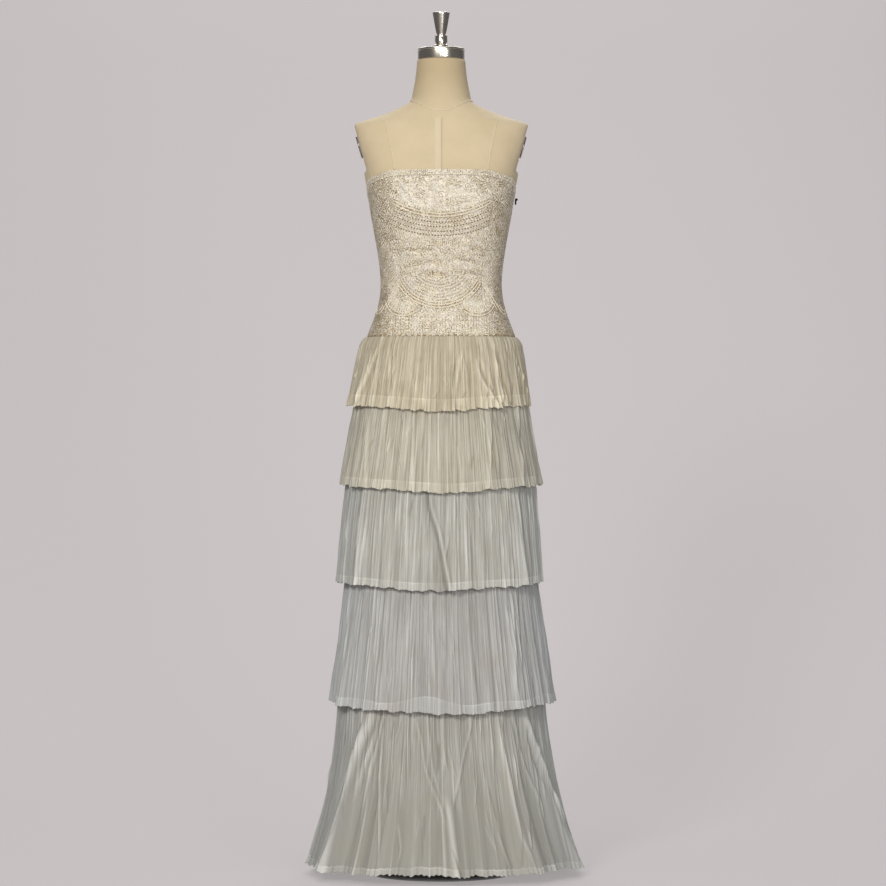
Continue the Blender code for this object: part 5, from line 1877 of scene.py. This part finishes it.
def build_studio():
    """Plain paper floor and wall, soft light and the camera."""
    studio = bpy.context.scene.dress_studio
    scene = bpy.context.scene
    reach, behind, radius = 2.2, 3.2, 2.0
    profile = [(-9.0, 0.0), (behind - radius, 0.0)]
    for i in range(1, 25):
        angle = math.pi / 2 * i / 24
        profile.append((behind - radius + radius * math.sin(angle), radius - radius * math.cos(angle)))
    profile.append((behind, 9.0))
    points = [(x, y, z) for y, z in profile for x in (-reach, reach)]
    faces = [(2 * i, 2 * i + 1, 2 * i + 3, 2 * i + 2) for i in range(len(profile) - 1)]
    floor = place("studio_floor", plain_mesh("studio_floor", points, faces), backdrop_material())

    world = bpy.data.worlds.new("studio_world")
    scene.world = world
    world.use_nodes = True
    back = world.node_tree.nodes["Background"]
    back.inputs["Color"].default_value = (0.8, 0.8, 0.82, 1.0)
    back.inputs["Strength"].default_value = studio.ambient
    lamps = (
        ("key_light", (-1.9, -6.0, 3.3), 1.3, 1.3, studio.key_power, (1.0, 0.985, 0.96)),
        ("fill_light", (2.1, -6.0, 1.6), 1.6, 1.6, studio.fill_power, (0.95, 0.97, 1.0)),
        ("strip_light", (0.1, -7.6, 2.6), 0.35, 2.6, studio.strip_power, (1.0, 1.0, 1.0)),
        ("back_light", (0.0, 2.5, 3.6), 3.0, 1.2, studio.back_power, (1.0, 0.99, 0.97)),
        ("top_light", (0.0, -0.8, 4.2), 3.0, 2.0, studio.top_power, (1.0, 0.99, 0.97)),
    )
    for name, place_at, wide, tall, power, colour in lamps:
        lamp = bpy.data.lights.new(name, "AREA")
        lamp.shape = "RECTANGLE"
        lamp.size, lamp.size_y = wide, tall
        lamp.energy = power
        lamp.color = colour
        light = bpy.data.objects.new(name, lamp)
        scene.collection.objects.link(light)
        light.location = place_at
        aim = np.array([0.0, 0.0, 1.0]) - np.array(place_at)
        light.rotation_euler = (
            math.atan2(math.hypot(aim[0], aim[1]), -aim[2]),
            0.0,
            math.atan2(-aim[0], aim[1]),
        )

    camera = bpy.data.cameras.new("camera")
    camera.sensor_width = SENSOR
    camera.lens = SENSOR * EYE_DISTANCE / FRAME_WIDTH
    eye = bpy.data.objects.new("camera", camera)
    scene.collection.objects.link(eye)
    eye.location = (EYE_ACROSS, -EYE_DISTANCE, EYE_HEIGHT)
    eye.rotation_euler = (math.pi / 2, 0.0, 0.0)
    scene.camera = eye
    scene.view_settings.view_transform = "Standard"
    scene.view_settings.look = "None"


def length_property(name, description, default, least, most, precision=4):
    """A small length that a user may change."""
    return bpy.props.FloatProperty(
        name=name, description=description, default=default,
        min=least, max=most, precision=precision, unit="LENGTH",
    )


def power_property(name, description, default):
    """Power of a lamp that a user may change."""
    return bpy.props.FloatProperty(name=name, description=description, default=default, min=0.0, unit="POWER")


def factor_property(name, description, default, most):
    """A plain factor that a user may change."""
    return bpy.props.FloatProperty(
        name=name, description=description, default=default, min=0.0, max=most, subtype="FACTOR"
    )


def colour_property(name, description, default):
    """A colour that a user may change."""
    return bpy.props.FloatVectorProperty(
        name=name, description=description, default=default, size=3, min=0.0, max=1.0, subtype="COLOR"
    )


class DressCloth(bpy.types.PropertyGroup):
    """Sizes and colours of the dress's cloth."""

    crinkle_depth: length_property(
        "Crinkle depth", "How far a tier's highest crinkle stands above its valleys", 0.004, 0.0, 0.006
    )
    lace_relief: length_property(
        "Lace relief", "How far the ribs of the lace stand above its net", 0.001, 0.0, 0.002
    )
    weave_pitch: length_property(
        "Weave pitch", "Distance between threads of the sheer cloth", 0.0004, 0.0001, 0.002, 5
    )
    # From the first tier down: partly the cloth's own tone, partly painted light that is warm above and cool
    # below
    ivory: colour_property("Tier 1", "Folded cloth of the first tier", (0.93, 0.86, 0.67))
    ivory_under: colour_property("Tier 1 under", "First tier where the slip shows", (0.43, 0.365, 0.25))
    ivory_low: colour_property("Tier 2", "Folded cloth of the second tier", (0.89, 0.845, 0.71))
    ivory_low_under: colour_property("Tier 2 under", "Second tier where the slip shows", (0.41, 0.375, 0.29))
    grey: colour_property("Tier 3", "Folded cloth of the third tier", (0.8, 0.8, 0.725))
    grey_under: colour_property("Tier 3 under", "Third tier where the slip shows", (0.37, 0.355, 0.31))
    grey_low: colour_property("Tier 4", "Folded cloth of the fourth tier", (0.7, 0.7, 0.665))
    grey_low_under: colour_property("Tier 4 under", "Fourth tier where the slip shows", (0.355, 0.34, 0.315))
    grey_hem: colour_property("Tier 5", "Folded cloth of the fifth tier", (0.7, 0.69, 0.635))
    grey_hem_under: colour_property("Tier 5 under", "Fifth tier where the slip shows", (0.335, 0.323, 0.278))
    cloth_stain: colour_property("Stain", "Age marks of the tiers", (0.4, 0.33, 0.2))
    # Colour of the painted light of the grey room seen through the sides of the tiers
    painted_room_light: colour_property("Cool sides", "Tiers where the grey room reads through", (0.54, 0.6, 0.62))
    slip_colour: colour_property("Slip", "Satin of the slip skirt", (0.52, 0.51, 0.46))
    lace_thread: colour_property("Lace thread", "Raised thread of the lace", (0.97, 0.88, 0.69))
    lace_ground: colour_property("Lace ground", "Net between the threads", (0.33, 0.235, 0.12))
    # Colour of the painted highlights on the lace
    lace_sheen: colour_property("Lace sheen", "Cool glints on the lace", (0.9, 0.85, 0.81))
    lace_age: colour_property("Lace age", "Yellowed patches of the lace", (0.7, 0.57, 0.38))
    lace_stain: colour_property("Lace stain", "Small brown spots of the lace", (0.3, 0.2, 0.1))


class FormFinish(bpy.types.PropertyGroup):
    """Colours and polish of the dress form and its stand."""

    canvas: colour_property("Canvas", "Cover of the form", (0.64, 0.52, 0.325))
    canvas_pale: colour_property("Canvas, pale", "Paler parts of the cover", (0.7, 0.57, 0.37))
    canvas_neck: colour_property("Canvas, neck", "Handled cloth of the neck", (0.47, 0.35, 0.19))
    seam_pale: colour_property("Seam", "Piping and tape of the form's seams", (0.78, 0.68, 0.49))
    # Colour of the painted shade in the groove beside the tape
    seam_dark: colour_property("Seam shadow", "Line beside the tape", (0.38, 0.29, 0.17))
    metal: colour_property("Polished metal", "Cap, knob and arm plates", (0.63, 0.575, 0.5))
    stand_metal: colour_property("Stand metal", "Pole and foot", (0.3, 0.3, 0.31))
    metal_smooth: factor_property("Polish", "Roughness of the smoothest metal", 0.22, 1.0)


class DressStudio(bpy.types.PropertyGroup):
    """Paper and light of the studio."""

    paper: colour_property("Paper", "Floor and wall", (0.56, 0.525, 0.53))
    paper_glow: factor_property("Paper glow", "Even light that flattens the paper", 0.585, 2.0)
    ambient: factor_property("Ambient light", "Strength of the surrounding light", 0.18, 3.0)
    key_power: power_property("Key light", "Lamp in front on the left", 185.0)
    fill_power: power_property("Fill light", "Lamp in front on the right", 78.0)
    strip_power: power_property("Strip light", "Narrow lamp over the camera", 60.0)
    back_power: power_property("Back light", "Lamp behind, over the paper", 60.0)
    top_power: power_property("Top light", "Lamp overhead", 25.0)


class MakeForm(bpy.types.Operator):
    """Builds the padded dress form with its seams"""

    bl_idname = "wedding_dress.form"
    bl_label = "Dress form"

    def execute(self, context):
        build_form()
        return {"FINISHED"}


class MakeFittings(bpy.types.Operator):
    """Builds the neck cap, the knob and the arm plates"""

    bl_idname = "wedding_dress.fittings"
    bl_label = "Metal fittings"

    def execute(self, context):
        build_fittings()
        return {"FINISHED"}


class FinishStand(bpy.types.Operator):
    """Finishes the pole and foot of the stand"""

    bl_idname = "wedding_dress.stand"
    bl_label = "Stand"

    def execute(self, context):
        build_stand()
        return {"FINISHED"}


class MakeBodice(bpy.types.Operator):
    """Builds the six lace panels with their cords and eyelets"""

    bl_idname = "wedding_dress.bodice"
    bl_label = "Bodice panels"

    def execute(self, context):
        build_bodice()
        return {"FINISHED"}


class MakeBand(bpy.types.Operator):
    """Builds the lace band of the neckline"""

    bl_idname = "wedding_dress.neckline_band"
    bl_label = "Neckline band"

    def execute(self, context):
        build_band()
        return {"FINISHED"}


class MakeHook(bpy.types.Operator):
    """Builds the hook of the side opening"""

    bl_idname = "wedding_dress.hook"
    bl_label = "Side hook"

    def execute(self, context):
        build_hook()
        return {"FINISHED"}


class MakeSlip(bpy.types.Operator):
    """Builds the slip skirt"""

    bl_idname = "wedding_dress.slip"
    bl_label = "Slip skirt"

    def execute(self, context):
        build_slip()
        return {"FINISHED"}


class MakeTiers(bpy.types.Operator):
    """Builds the five pleated tiers"""

    bl_idname = "wedding_dress.tiers"
    bl_label = "Pleated tiers"

    def execute(self, context):
        build_tiers()
        return {"FINISHED"}


class MakeStudio(bpy.types.Operator):
    """Builds the floor, the lights and the camera"""

    bl_idname = "wedding_dress.studio"
    bl_label = "Studio"

    def execute(self, context):
        build_studio()
        return {"FINISHED"}


OPERATORS = (
    MakeStudio,
    MakeForm,
    MakeFittings,
    FinishStand,
    MakeSlip,
    MakeTiers,
    MakeBodice,
    MakeBand,
    MakeHook,
)


class DressPanel(bpy.types.Panel):
    """Lists the settings and pieces of the wedding dress"""

    bl_idname = "VIEW3D_PT_wedding_dress"
    bl_label = "Wedding dress"
    bl_space_type = "VIEW_3D"
    bl_region_type = "UI"
    bl_category = "Wedding dress"

    def draw(self, context):
        layout = self.layout
        for settings in (context.scene.dress_cloth, context.scene.form_finish, context.scene.dress_studio):
            box = layout.box()
            for name in settings.__annotations__:
                box.prop(settings, name)
        for operator in OPERATORS:
            layout.operator(operator.bl_idname)


SETTINGS = (
    (DressCloth, "dress_cloth"),
    (FormFinish, "form_finish"),
    (DressStudio, "dress_studio"),
)


def register():
    """Adds the settings, the operators and the panel."""
    for group, name in SETTINGS:
        bpy.utils.register_class(group)
        setattr(bpy.types.Scene, name, bpy.props.PointerProperty(type=group))
    for operator in OPERATORS:
        bpy.utils.register_class(operator)
    bpy.utils.register_class(DressPanel)


def unregister():
    """Takes away what register added."""
    bpy.utils.unregister_class(DressPanel)
    for operator in reversed(OPERATORS):
        bpy.utils.unregister_class(operator)
    for group, name in reversed(SETTINGS):
        delattr(bpy.types.Scene, name)
        bpy.utils.unregister_class(group)


def main():
    """Builds every piece in order."""
    register()
    for operator in OPERATORS:
        section, name = operator.bl_idname.split(".")
        getattr(getattr(bpy.ops, section), name)()


if __name__ == "__main__":
    main()
